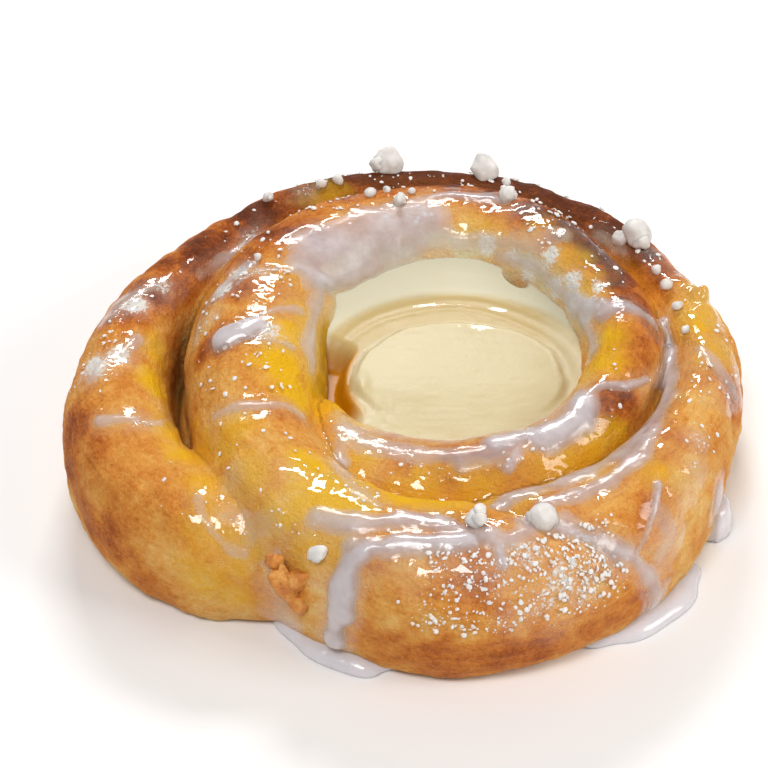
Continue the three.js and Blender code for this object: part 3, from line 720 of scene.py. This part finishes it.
def browning(around, points):
    """How far the crust has baked, from 0, pale yellow, to 1, dark brown."""
    off = np.abs(around - 70)
    off = np.minimum(off, 360 - off)
    patch = 1 - smoothstep(off, 20, 110)
    uneven = 0.11 * lattice_noise(points, 8.0, 21) + 0.07 * lattice_noise(points, 3.0, 22)
    spots = 0.58 * spot_field(points, BROWN_SPOTS) - 0.26 * spot_field(points, PALE_SPOTS)
    return np.clip(0.24 + 0.15 * patch + uneven + spots, 0, 1)


def creamed(turn, around, points):
    """Where custard and sugar dried on the inner side of the inner coil, from 0 to 1."""
    behind = smoothstep(turn, -5, 25) * (1 - smoothstep(turn, 150, 172))
    side = smoothstep(around, 112, 132) * (1 - smoothstep(around, 185, 200))
    return np.clip(behind * side * (0.85 + 0.5 * lattice_noise(points, 2.6, 19)), 0, 1)


def welded(points, edges):
    """The skin with the seam of the tail evened out."""
    share = 1 - smoothstep(nearest(points, bridge_points()[0]), 0.65 * BRIDGE_REACH, BRIDGE_REACH)
    near = share > 0
    inside = edges[near[edges].all(1)]
    number = np.cumsum(near) - 1
    patch, share = points[near], share[near, None]
    patch = patch + share * (relaxed(patch, number[inside], SEAM_ROUNDS) - patch)
    points = points.copy()
    points[near] = patch
    return points


def build_dough():
    rope, rope_faces = rope_loft()
    floor, floor_faces = floor_loft(len(rope))
    bridge, bridge_faces = bridge_lumps(len(rope) + len(floor))
    shells = np.concatenate([rope, floor, bridge])
    points, quads = fused(shells, rope_faces + floor_faces + bridge_faces, VOXEL)
    edges = edges_of(quads)
    points = welded(relaxed(points, edges, JOIN_ROUNDS), edges)
    turn, around, far, next_far = rope_coordinates(points)
    normals = normals_of(points, quads)
    apart = smoothstep(nearest(points, bridge_points()[0]), 5.0, 9.5)
    # The glaze evens out the fine lumps under it.
    thickness = icing_thickness(points)
    glaze = glaze_field(points, thickness)
    detail = crust_detail(points, turn, around) * apart * (1 - 0.55 * glaze)
    points = points + normals * (detail + fin(points))[:, None]
    points[:, 2] = np.maximum(points[:, 2], 0)
    normals = normals_of(points, quads)
    dough = object_from("dough_crust", points, quads)
    smooth_shaded(dough)
    set_attribute(dough, "bake", browning(around, points))
    set_attribute(dough, "yolk", spot_field(points, YOLK_SPOTS))
    set_attribute(dough, "cream", creamed(turn, around, points))
    outer_back = smoothstep(turn, 395, 415) * (1 - smoothstep(turn, 525, 540))
    # The grooves between coils: dough that stayed yellow there, with painted shade that deepens and
    # saturates it.
    groove_tone_and_shade = (1 - smoothstep(next_far - far, 0.02, 0.55)) * apart * (1 - 0.85 * outer_back)
    set_attribute(dough, "groove_tone_and_shade", groove_tone_and_shade)
    set_attribute(dough, "apart", apart)
    # Painted shade: dark brown low down in the clefts between the coils, and at the painted shade spots.
    cleft_shade = (1 - smoothstep(next_far - far, 0.0, 0.35)) * (1 - smoothstep(points[:, 2], 14.0, 20.0)) * apart
    set_attribute(dough, "cleft_shade", np.maximum(cleft_shade, spot_field(points, PAINTED_SHADE_SPOTS)))
    set_attribute(dough, "glaze", glaze)
    set_attribute(dough, "frost", spot_field(points, FROST))
    set_attribute(dough, "arc", np.radians(turn) * station(turn, RADIUS))
    set_attribute(dough, "girth", np.radians(around) * SECTION_RADIUS)
    thinned(dough, FACES_KEPT)
    skin_facts = {
        "points": points,
        "quads": quads,
        "edges": edges,
        "normals": normals,
        "thickness": thickness,
    }
    return dough, skin_facts


def build_icing(crust):
    """Icing over the crust: a closed skin that bulges where it is thick and dives in at its edges."""
    points, normals, thickness = crust["points"], crust["normals"], crust["thickness"]
    evened = relaxed(points, crust["edges"], 12)
    settled = relaxed(evened, crust["edges"], 18)
    fill = np.clip(((settled - points) * normals).sum(1), 0, 1.6)
    wet = smoothstep(thickness, 0.0, 0.3)
    ripple = 0.03 * lattice_noise(points, 4.0, 31)
    # The icing evens out the crust's fine lumps, and lies deeper in the grooves.
    ground = points + (evened - points) * wet[:, None]
    top = ground + normals_of(settled, crust["quads"]) * (thickness + (fill + ripple) * wet)[:, None]
    under = points - normals * 1.0
    keep = (thickness[crust["quads"]].max(1) > -0.35) & (points[crust["quads"]][:, :, 2].mean(1) > 0.25)
    quads = crust["quads"][keep]
    used = np.unique(quads)
    number = np.full(len(points), -1)
    number[used] = np.arange(len(used))
    quads = number[quads]
    count = len(used)
    sides = np.concatenate([quads[:, [0, 1]], quads[:, [1, 2]], quads[:, [2, 3]], quads[:, [3, 0]]])
    key = np.sort(sides, axis=1)
    _, first, uses = np.unique(key, axis=0, return_index=True, return_counts=True)
    rim = sides[first[uses == 1]]
    walls = np.stack([rim[:, 0], rim[:, 0] + count, rim[:, 1] + count, rim[:, 1]], -1)
    faces = np.concatenate([quads, quads[:, ::-1] + count, walls])
    top[:, 2] = np.maximum(top[:, 2], 0.0)
    under[:, 2] = np.maximum(under[:, 2], 0.0)
    icing = object_from("icing", np.concatenate([top[used], under[used]]), faces)
    smooth_shaded(icing)
    depth = np.concatenate([(thickness + fill * wet)[used]] * 2)
    set_attribute(icing, "depth", np.clip(depth, 0, 3))
    route, half, _ = ICING_RUNS["sheet"]
    matt = smoothstep(run_field(points, route, half), -0.1, 0.4)[used]
    set_attribute(icing, "matt", np.concatenate([matt] * 2))
    return icing


def puddle_points(x, y, length, width, height, heading):
    """A domed puddle with a wavy edge, as rings of points from the foot up."""
    sides = 96
    a = np.arange(sides) * 2 * math.pi / sides
    wave = 1 + 0.05 * np.sin(3 * a + x) + 0.03 * np.sin(7 * a + y)
    profile = [(0.9, 0.0), (1.0, 0.06), (1.02, 0.25), (0.98, 0.5), (0.9, 0.74), (0.72, 0.9), (0.45, 1.0)]
    h = math.radians(heading)
    rings = []
    for r, z in profile:
        u, v = length * r * wave * np.cos(a), width * r * wave * np.sin(a)
        px = WELL[0] + x + u * math.cos(h) - v * math.sin(h)
        py = WELL[1] + y + u * math.sin(h) + v * math.cos(h)
        rings.append(np.stack([px, py, np.full(sides, height * z)], -1))
    return rings


def build_puddles():
    points, faces, start = [], [], 0
    for puddle in PUDDLES:
        rings = puddle_points(*puddle)
        sides = len(rings[0])
        points += rings
        faces += [tuple(f) for f in grid_faces(len(rings), sides, start)[:, ::-1]]
        last = start + (len(rings) - 1) * sides
        faces.append(tuple(range(start + sides - 1, start - 1, -1)))
        faces.append(tuple(range(last, last + sides)))
        start = last + sides
    piece = object_from("icing_puddles", np.concatenate(points), faces)
    smooth_shaded(piece)
    set_attribute(piece, "depth", np.full(len(piece.data.vertices), 1.6))
    return piece


def oval(x, y, shape):
    """Distance from an oval's centre as a share of its radius, and the direction from it."""
    dx, dy = (x - shape["x"]) / shape["rx"], (y - shape["y"]) / shape["ry"]
    return np.hypot(dx, dy), np.arctan2(dy, dx)


def ridge(value, middle, width):
    return np.exp(-(((value - middle) / width) ** 2))


def custard_hollow(x, y, lead=0.0):
    """The crescent on the left where the custard has shrunk from the dough, from 0 to 1."""
    far, way = oval(x, y, LEDGE)
    way = np.degrees(way) % 360
    side = smoothstep(way, 148, 164) * (1 - smoothstep(way, 200, 220))
    return smoothstep(far, 0.76 - lead, 0.85 - lead) * side


def custard_pit(x, y):
    h = math.radians(PIT["heading"])
    u, v = x - PIT["x"], y - PIT["y"]
    along, across = u * math.cos(h) + v * math.sin(h), v * math.cos(h) - u * math.sin(h)
    return 1 - smoothstep(np.hypot(along / PIT["rx"], across / PIT["ry"]), 0.55, 1.15)


def custard_top(x, y):
    """Height of the custard over points given from the well's centre."""
    flat = np.stack([x, y, np.zeros_like(x)], -1).reshape(-1, 3)
    lumps = 0.08 * lattice_noise(flat, 9.0, 42).reshape(x.shape)
    strokes = 0.014 * lattice_noise(flat * [0.5, 2.2, 1], 2.0, 41).reshape(x.shape)
    ledge, way = oval(x, y, LEDGE)
    ledge = ledge + 0.012 * np.sin(3 * way) + 0.008 * np.sin(7 * way + 1)
    behind = smoothstep(np.sin(way), -0.1, 0.5) * smoothstep(ledge, 0.4, 0.8)
    wall = 0.3 * smoothstep(ledge, 0.94, 1.06) + 2.8 * smoothstep(ledge, 1.0, 1.4)
    drift = 0.05 * np.cos(way - 1.0)
    arcs = 0.14 * ridge(ledge, 0.99, 0.045) + 0.1 * ridge(ledge + drift, 0.88, 0.035)
    height = CUSTARD_LEVEL + (wall + arcs) * behind + 0.6 * smoothstep(ledge, 1.0, 1.2)
    spoonful, way = oval(x, y, DOLLOP)
    wave = 0.014 * np.sin(5 * way + 1) + 0.006 * np.sin(11 * way) + 0.004 * np.sin(23 * way)
    spoonful = spoonful + wave * smoothstep(spoonful, 0.3, 0.8)
    step = smoothstep(1 - spoonful, 0, 0.08)
    # In front the spoonful slopes gently and runs out to the dough.
    forward = (DOLLOP["y"] - y) / DOLLOP["ry"]
    step = step + (1 - step) * smoothstep(forward, 0.2, 0.75)
    rise = DOLLOP["rise"] - 0.3 * np.minimum(spoonful, 1.1) ** 2
    rise = rise * step * (1 - 0.5 * smoothstep(forward, 0.1, 1.2))
    rise = rise + 0.1 * ridge(spoonful, 0.93, 0.02) * behind
    flap = ridge(x, -16.0, 1.3) * ridge(y, -8.5, 3.2)
    scrapes = 0.10 * lattice_noise(flat * [1.6, 0.5, 1], 1.1, 43).reshape(x.shape)
    scraped = ridge(x, -12.5, 4.5) * ridge(y, -15.5, 3.0)
    height = height + rise + lumps + strokes + 0.35 * flap + scrapes * scraped
    return height - 4.0 * custard_hollow(x, y) - PIT["depth"] * custard_pit(x, y)


def build_custard():
    rings, sides = 110, 260
    radii = np.linspace(0.3, CUSTARD_RADIUS, rings)
    a = np.arange(sides) * 2 * math.pi / sides
    x, y = radii[:, None] * np.cos(a), radii[:, None] * np.sin(a)
    top = np.stack([WELL[0] + x, WELL[1] + y, custard_top(x, y)], -1)
    # The skin stops just inside the dough, and the underside lies on the floor of the well.
    flat = top.reshape(-1, 3)
    _, _, far, _ = rope_coordinates(flat)
    inside = (far < 0.86).reshape(rings, sides)
    reach = np.where(inside.any(0), inside.argmax(0), rings - 1)
    limit = radii[np.maximum(reach, 2)]
    limit = np.minimum(limit, np.minimum(np.roll(limit, 1), np.roll(limit, -1)) + 0.6)
    share = np.linspace(0.01, 1, rings)[:, None]
    x, y = share * limit * np.cos(a), share * limit * np.sin(a)
    top = np.stack([WELL[0] + x, WELL[1] + y, custard_top(x, y)], -1)
    low = top[-1].copy()
    low[:, 2] = FLOOR_HEIGHT - 0.5
    points = np.concatenate([top.reshape(-1, 3), low])
    faces = [tuple(f) for f in grid_faces(rings + 1, sides)]
    faces.append(tuple(range(sides)))
    last = rings * sides
    faces.append(tuple(range(last + sides - 1, last - 1, -1)))
    custard = object_from("custard_cream", points, faces)
    smooth_shaded(custard)
    x, y = points[:, 0] - WELL[0], points[:, 1] - WELL[1]
    # Painted golden shade in the crescent where the custard has shrunk from the dough, and in the pit.
    set_attribute(custard, "hollow_shade", np.maximum(custard_hollow(x, y, 0.06), 0.9 * custard_pit(x, y)))
    ledge = oval(x, y, LEDGE)[0]
    spoonful = oval(x, y, DOLLOP)[0]
    # Painted shade: a darker, browner ring between the spoonful and the ledge's arc, faded out on the right
    # and at the front where light reaches.
    round_it = smoothstep(spoonful, 0.98, 1.06) * (1 - smoothstep(ledge, 0.98, 1.06))
    lit = np.maximum(0.85 * smoothstep(x, 13, 20), smoothstep(-y, 9, 16))
    set_attribute(custard, "ledge", round_it * (1 - lit))
    set_attribute(custard, "wall", smoothstep(ledge, 1.0, 1.08))
    gloss = [ridge(x, cx, rx) * ridge(y, cy, ry) for cx, cy, rx, ry in GLOSS_SPOTS]
    set_attribute(custard, "gloss", np.max(gloss, axis=0))
    set_attribute(custard, "rim", ridge(spoonful, 0.97, 0.02) * smoothstep(y, -10, -2))
    return custard


def lump(size, detail, rng, slimness=0.8):
    """An uneven rounded stone of sugar, as points and triangles round its own centre."""
    mesh = bpy.data.meshes.new("lump")
    form = bmesh.new()
    bmesh.ops.create_icosphere(form, subdivisions=detail, radius=1)
    form.to_mesh(mesh)
    form.free()
    points = np.array([v.co for v in mesh.vertices])
    faces = np.array([p.vertices[:] for p in mesh.polygons])
    bpy.data.meshes.remove(mesh)
    points = points * (slimness + (1.2 - slimness) * rng.random(3))
    bumps = lattice_noise(points + rng.random(3) * 50, 0.7, 51) * 0.22
    bumps += lattice_noise(points + rng.random(3) * 50, 0.32, 52) * 0.12
    points = points * (1 + bumps)[:, None] * size / 2
    spin = rng.normal(size=(3, 3))
    spin, _ = np.linalg.qr(spin)
    return points @ spin.T, faces


def skin_normals(turn, around):
    along = skin(turn + 1, around) - skin(turn - 1, around)
    round_it = skin(turn, around + 3) - skin(turn, around - 3)
    out = np.cross(along, round_it)
    return out / np.linalg.norm(out, axis=-1, keepdims=True)


def build_pearls():
    """The large pearl sugar, each a cluster of a few grown-together lumps."""
    rng = np.random.default_rng(61)
    lumps = []
    for turn, around, size in PEARLS:
        place, normal = skin(turn, around), skin_normals(turn, around)
        parts = 3 if size > 4 else 2
        for k in range(parts):
            p, f = lump(size * (0.86 if k == 0 else 0.5), 3 if size > 3 else 2, rng)
            push = rng.normal(size=3) * size * (0.0 if k == 0 else 0.2)
            lumps.append((p + place + normal * size * 0.26 + push, f))
    pearls = object_from("pearl_sugar", *gathered(lumps))
    smooth_shaded(pearls)
    return pearls


# Where the fine sugar fell: turn from and to, angle from and to, how many grains, largest size.
SPRINKLES = [
    (264, 297, 10, 74, 680, 1.15),
    (150, 215, 42, 110, 130, 1.2),
    (10, 60, 58, 118, 70, 1.3),
    (60, 130, 60, 110, 60, 1.4),
    (320, 400, 50, 105, 80, 1.2),
    (400, 520, 56, 110, 80, 1.4),
    (520, 590, 40, 110, 60, 1.0),
    (-110, -10, 60, 110, 60, 1.0),
    (210, 262, 30, 110, 40, 1.1),
]


def build_crumbs():
    """Fine sugar strewn over the crust, thickest where the photograph has it."""
    rng = np.random.default_rng(62)
    grains = []
    for low, high, under, over, count, most in SPRINKLES:
        centres = rng.random((max(count // 9, 3), 2))
        for _ in range(count):
            if rng.random() < 0.6:
                u, v = centres[rng.integers(len(centres))] + rng.normal(size=2) * 0.06
            else:
                u, v = rng.random(2)
            turn, around = low + (high - low) * u, under + (over - under) * v
            size = 0.3 + (most - 0.3) * rng.random() ** 2.0
            p, f = lump(size, 1, rng, 0.4)
            normal = skin_normals(turn, around)
            # Each one has sunk in a little and lies flat.
            p = p - normal * (p @ normal)[:, None] * 0.45
            grains.append((p + skin(turn, around) + normal * (size * 0.14 + 0.1), f))
    return object_from("sugar_grains", *gathered(grains))


def nodes_of(name):
    material = bpy.data.materials.new(name)
    material.use_nodes = True
    tree = material.node_tree
    return material, tree, tree.nodes["Principled BSDF"]


def attribute(tree, name):
    node = tree.nodes.new("ShaderNodeAttribute")
    node.attribute_name = name
    return node.outputs["Fac"]


def noise(tree, scale, detail=4.0, rough=0.55, vector=None):
    node = tree.nodes.new("ShaderNodeTexNoise")
    node.inputs["Scale"].default_value = scale
    node.inputs["Detail"].default_value = detail
    node.inputs["Roughness"].default_value = rough
    if vector is None:
        vector = tree.nodes.new("ShaderNodeTexCoord").outputs["Object"]
    tree.links.new(vector, node.inputs["Vector"])
    return node.outputs["Fac"]


def maths(tree, operation, first, second, clamp=False):
    node = tree.nodes.new("ShaderNodeMath")
    node.operation = operation
    node.use_clamp = clamp
    for socket, value in zip(node.inputs, (first, second)):
        if isinstance(value, (int, float)):
            socket.default_value = value
        else:
            tree.links.new(value, socket)
    return node.outputs[0]


def ramp(tree, factor, stops):
    node = tree.nodes.new("ShaderNodeValToRGB")
    node.color_ramp.interpolation = "B_SPLINE" if len(stops) > 3 else "LINEAR"
    while len(node.color_ramp.elements) < len(stops):
        node.color_ramp.elements.new(0.5)
    for element, (position, colour) in zip(node.color_ramp.elements, stops):
        element.position = position
        element.color = (*colour, 1)
    tree.links.new(factor, node.inputs["Fac"])
    return node.outputs["Color"]


def mixed(tree, factor, first, second):
    node = tree.nodes.new("ShaderNodeMix")
    node.data_type = "RGBA"
    for socket, value in ((node.inputs[0], factor), (node.inputs[6], first), (node.inputs[7], second)):
        if isinstance(value, (int, float)):
            socket.default_value = value
        elif isinstance(value, tuple):
            socket.default_value = (*value, 1)
        else:
            tree.links.new(value, socket)
    return node.outputs[2]


def bumped(tree, shader, height, strength, distance, socket="Normal"):
    node = tree.nodes.new("ShaderNodeBump")
    node.inputs["Strength"].default_value = strength
    node.inputs["Distance"].default_value = distance
    tree.links.new(height, node.inputs["Height"])
    tree.links.new(node.outputs["Normal"], shader.inputs[socket])


def linear(red, green, blue):
    """A colour given as 0 to 255 display values, in linear light."""
    def channel(value):
        v = value / 255
        return v / 12.92 if v <= 0.04045 else ((v + 0.055) / 1.055) ** 2.4
    return (channel(red), channel(green), channel(blue))


BAKED = [
    (0.0, linear(250, 214, 142)),
    (0.2, linear(244, 184, 94)),
    (0.4, linear(232, 152, 60)),
    (0.6, linear(208, 113, 36)),
    (0.8, linear(148, 68, 20)),
    (1.0, linear(84, 37, 13)),
]
YOLK = linear(249, 191, 14)
GROOVE_TONE_AND_SHADE = linear(228, 148, 12)
CLEFT_SHADE = linear(96, 50, 12)
DRIED_CREAM = linear(240, 224, 180)
MILKY = linear(222, 206, 196)
DUST = linear(250, 246, 238)


def times(tree, value, by, clamp=False):
    return maths(tree, "MULTIPLY", value, by, clamp)


def scaled(tree, value, by):
    """A noise's distance from its middle, times a number."""
    return times(tree, maths(tree, "SUBTRACT", value, 0.5), by)


def total(tree, *values):
    result = values[0]
    for value in values[1:]:
        result = maths(tree, "ADD", result, value)
    return result


def painted(tree, colour, name, share, over):
    """A colour with another over it where an attribute says, at a share of its strength."""
    return mixed(tree, times(tree, attribute(tree, name), share), colour, over)


def let_light_in(shader, weight, radius, scale):
    shader.inputs["Subsurface Weight"].default_value = weight
    shader.inputs["Subsurface Radius"].default_value = radius
    shader.inputs["Subsurface Scale"].default_value = scale


def crust_material():
    material, tree, shader = nodes_of("baked_crust")
    combine = tree.nodes.new("ShaderNodeCombineXYZ")
    tree.links.new(times(tree, attribute(tree, "arc"), 0.30), combine.inputs[0])
    tree.links.new(attribute(tree, "girth"), combine.inputs[1])
    streaks = noise(tree, 0.9, 4, 0.65, combine.outputs[0])
    # The streaks follow the strands, and fade where two of them have grown together.
    streaks = maths(tree, "SUBTRACT", streaks, 0.5)
    streaks = total(tree, 0.5, times(tree, streaks, attribute(tree, "apart")))
    mottle = noise(tree, 300, 6, 0.65)
    speckle = noise(tree, 1500, 4, 0.7)
    grain = noise(tree, 3600, 2, 0.6)
    bake = total(
        tree,
        attribute(tree, "bake"),
        scaled(tree, streaks, 0.34),
        scaled(tree, mottle, 0.62),
        scaled(tree, speckle, 0.50),
        scaled(tree, grain, 0.20),
    )
    colour = ramp(tree, bake, BAKED)
    patchy = total(tree, 1.2, scaled(tree, mottle, 1.6), scaled(tree, streaks, 0.6))
    yolk = times(tree, patchy, attribute(tree, "yolk"), True)
    colour = mixed(tree, yolk, colour, YOLK)
    # Grooves: yellow dough plus painted saturated shade.
    colour = painted(tree, colour, "groove_tone_and_shade", 0.55, GROOVE_TONE_AND_SHADE)
    # Painted shade: dark brown in the deep clefts.
    colour = painted(tree, colour, "cleft_shade", 0.75, CLEFT_SHADE)
    cream = total(tree, attribute(tree, "cream"), scaled(tree, mottle, 1.6))
    cream = times(tree, cream, attribute(tree, "cream"), True)
    colour = mixed(tree, cream, colour, DRIED_CREAM)
    glaze = attribute(tree, "glaze")
    colour = mixed(tree, times(tree, glaze, 0.05), colour, MILKY)
    # The dust lies in flecks where the crust stands proud.
    frost = attribute(tree, "frost")
    dust = total(tree, times(tree, frost, 0.6), speckle, -0.86)
    dust = times(tree, dust, 9.0, True)
    dust = total(tree, times(tree, dust, 0.8), times(tree, frost, 0.2))
    colour = mixed(tree, dust, colour, DUST)
    tree.links.new(colour, shader.inputs["Base Color"])
    rough = total(tree, 0.62, times(tree, glaze, -0.34), scaled(tree, mottle, 0.25))
    tree.links.new(rough, shader.inputs["Roughness"])
    wet = times(tree, total(tree, glaze, scaled(tree, mottle, 0.8), -0.12), 1.6, True)
    tree.links.new(wet, shader.inputs["Coat Weight"])
    shader.inputs["Coat Roughness"].default_value = 0.05
    shader.inputs["Specular IOR Level"].default_value = 0.22
    let_light_in(shader, 0.12, (1.0, 0.45, 0.15), 0.0018)
    pores = total(
        tree,
        times(tree, mottle, 0.7),
        times(tree, speckle, 0.75),
        times(tree, streaks, 0.5),
        times(tree, grain, 0.25),
    )
    bumped(tree, shader, pores, 0.9, 0.0012)
    bumped(tree, shader, noise(tree, 220, 2, 0.4), 0.8, 0.0011, "Coat Normal")
    return material


def icing_material(name, low, high):
    material, tree, shader = nodes_of(name)
    cloud = noise(tree, 190, 4, 0.6)
    colour = ramp(tree, cloud, [(0.3, low), (0.7, high)])
    # Thin icing is creamy and lets the crust through, thick icing is milky.
    thin = maths(tree, "SUBTRACT", 1.0, times(tree, attribute(tree, "depth"), 1.8), True)
    tree.links.new(mixed(tree, thin, colour, linear(238, 222, 200)), shader.inputs["Base Color"])
    body = total(tree, attribute(tree, "depth"), scaled(tree, cloud, 0.5))
    cover = [(0.0, 0.0), (0.15, 0.22), (0.6, 0.48), (1.0, 0.9)]
    alpha = ramp(tree, body, [(depth, (share, share, share)) for depth, share in cover])
    tree.links.new(alpha, shader.inputs["Alpha"])
    matt = attribute(tree, "matt")
    tree.links.new(total(tree, 0.2, times(tree, matt, 0.25)), shader.inputs["Roughness"])
    tree.links.new(total(tree, 0.8, times(tree, matt, -0.65)), shader.inputs["Coat Weight"])
    shader.inputs["Coat Roughness"].default_value = 0.07
    let_light_in(shader, 0.25, (1.0, 0.8, 0.7), 0.0015)
    bumped(tree, shader, noise(tree, 260, 3, 0.5), 0.4, 0.0011)
    return material


def flake_material():
    material, tree, shader = nodes_of("crisp_flake")
    cloud = noise(tree, 420, 4, 0.6)
    crisp = [(0.3, linear(182, 100, 30)), (0.5, linear(216, 138, 56)), (0.7, linear(236, 182, 98))]
    colour = ramp(tree, cloud, crisp)
    tree.links.new(colour, shader.inputs["Base Color"])
    shader.inputs["Roughness"].default_value = 0.5
    bumped(tree, shader, noise(tree, 900, 4, 0.65), 0.8, 0.0008)
    return material


def custard_material():
    material, tree, shader = nodes_of("custard")
    cloud = noise(tree, 110, 4, 0.55)
    flecks = noise(tree, 1900, 2, 0.5)
    colour = ramp(tree, cloud, [(0.3, linear(196, 180, 137)), (0.7, linear(203, 189, 150))])
    # Painted shade on the ring round the spoonful.
    colour = painted(tree, colour, "ledge", 0.9, linear(186, 162, 108))
    colour = painted(tree, colour, "wall", 0.9, linear(220, 215, 191))
    colour = painted(tree, colour, "rim", 0.7, linear(222, 214, 186))
    # Painted golden shade in the hollow and the pit.
    colour = mixed(tree, attribute(tree, "hollow_shade"), colour, linear(184, 118, 0))
    flecked = times(tree, maths(tree, "SUBTRACT", flecks, 0.66), 6.0, True)
    colour = mixed(tree, times(tree, flecked, 0.3), colour, linear(220, 182, 110))
    tree.links.new(colour, shader.inputs["Base Color"])
    rough = total(tree, 0.32, scaled(tree, cloud, 0.2))
    tree.links.new(rough, shader.inputs["Roughness"])
    shader.inputs["Specular IOR Level"].default_value = 0.16
    broken = total(tree, attribute(tree, "gloss"), scaled(tree, noise(tree, 900, 3, 0.6), 1.6), -0.42)
    tree.links.new(times(tree, broken, 2.5, True), shader.inputs["Coat Weight"])
    shader.inputs["Coat Roughness"].default_value = 0.12
    let_light_in(shader, 0.3, (1.0, 0.75, 0.4), 0.0022)
    pores = total(tree, noise(tree, 800, 3, 0.6), times(tree, flecks, 0.3))
    bumped(tree, shader, pores, 0.2, 0.0002)
    return material


def sugar_material(name, low, high):
    material, tree, shader = nodes_of(name)
    cloud = noise(tree, 500, 3, 0.5)
    colour = ramp(tree, cloud, [(0.3, low), (0.7, high)])
    tree.links.new(colour, shader.inputs["Base Color"])
    shader.inputs["Roughness"].default_value = 0.55
    let_light_in(shader, 0.3, (1.0, 0.9, 0.8), 0.001)
    bumped(tree, shader, noise(tree, 2400, 3, 0.6), 0.4, 0.0002)
    return material


def floor_material():
    material, _, shader = nodes_of("pale_floor")
    shader.inputs["Base Color"].default_value = (0.9, 0.89, 0.885, 1)
    shader.inputs["Roughness"].default_value = 0.7
    return material


def area_light(name, energy, size, place, target, colour=(1, 1, 1)):
    data = bpy.data.lights.new(name, "AREA")
    data.energy = energy
    data.shape = "RECTANGLE"
    data.size, data.size_y = size
    data.color = colour
    light = bpy.data.objects.new(name, data)
    bpy.context.scene.collection.objects.link(light)
    light.location = place
    light.rotation_mode = "QUATERNION"
    light.rotation_quaternion = (Vector(target) - Vector(place)).to_track_quat("-Z", "Y")


def build_stage():
    far = FLOOR_SIZE / 2
    corners = [(-far, -far, 0), (far, -far, 0), (far, far, 0), (-far, far, 0)]
    floor = object_from("floor", corners, [(0, 1, 2, 3)])
    floor.location.z = -0.00005
    floor.data.materials.append(floor_material())
    area_light("window", 1.8, (0.20, 0.10), (-0.04, 0.43, 0.41), (0, 0, 0.01))
    area_light("front", 2.75, (0.26, 0.20), (-0.12, -0.36, 0.66), (0, 0, 0.01))
    area_light("side", 1.4, (0.2, 0.3), (0.46, -0.16, 0.34), (0, 0, 0.01), (1.0, 0.96, 0.90))
    world = bpy.data.worlds.new("studio")
    bpy.context.scene.world = world
    world.use_nodes = True
    world.node_tree.nodes["Background"].inputs["Color"].default_value = (1, 1, 1, 1)
    world.node_tree.nodes["Background"].inputs["Strength"].default_value = 0.28
    elevation = math.radians(CAMERA_ELEVATION)
    forward = Vector((0, math.cos(elevation), -math.sin(elevation)))
    data = bpy.data.cameras.new("camera")
    data.sensor_width = SENSOR
    data.lens = PIXELS_PER_MM * CAMERA_DISTANCE / FRAME_PIXELS * SENSOR
    data.clip_start, data.clip_end = 0.01, 10
    camera = bpy.data.objects.new("camera", data)
    bpy.context.scene.collection.objects.link(camera)
    camera.location = (Vector(CAMERA_TARGET) - forward * CAMERA_DISTANCE) * MM
    camera.rotation_mode = "QUATERNION"
    camera.rotation_quaternion = forward.to_track_quat("-Z", "Y")
    bpy.context.scene.camera = camera
    bpy.context.scene.view_settings.view_transform = "Standard"


def dress(piece, material, replaced=None):
    piece.data.materials.append(material)
    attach(piece, "root")
    if replaced:
        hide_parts(replaced)


build_stage()
dough, crust = build_dough()
icing_look = icing_material("sugar_icing", linear(196, 188, 191), linear(220, 214, 217))
# The puddles get a brighter copy of the icing: painted light that lifts them out of the pastry's shadow.
pool_painted_light = icing_material("icing_pool_painted_light", linear(226, 222, 228), linear(240, 236, 241))
sugar_look = sugar_material("pearl_sugar", linear(208, 203, 198), linear(232, 228, 223))
grain_look = sugar_material("sugar_dust", linear(226, 222, 217), linear(243, 240, 236))
dress(dough, crust_material(), "dough")
dress(build_custard(), custard_material(), "custard")
dress(build_flake(), flake_material())
dress(build_icing(crust), icing_look)
dress(build_puddles(), pool_painted_light)
dress(build_pearls(), sugar_look)
dress(build_crumbs(), grain_look)
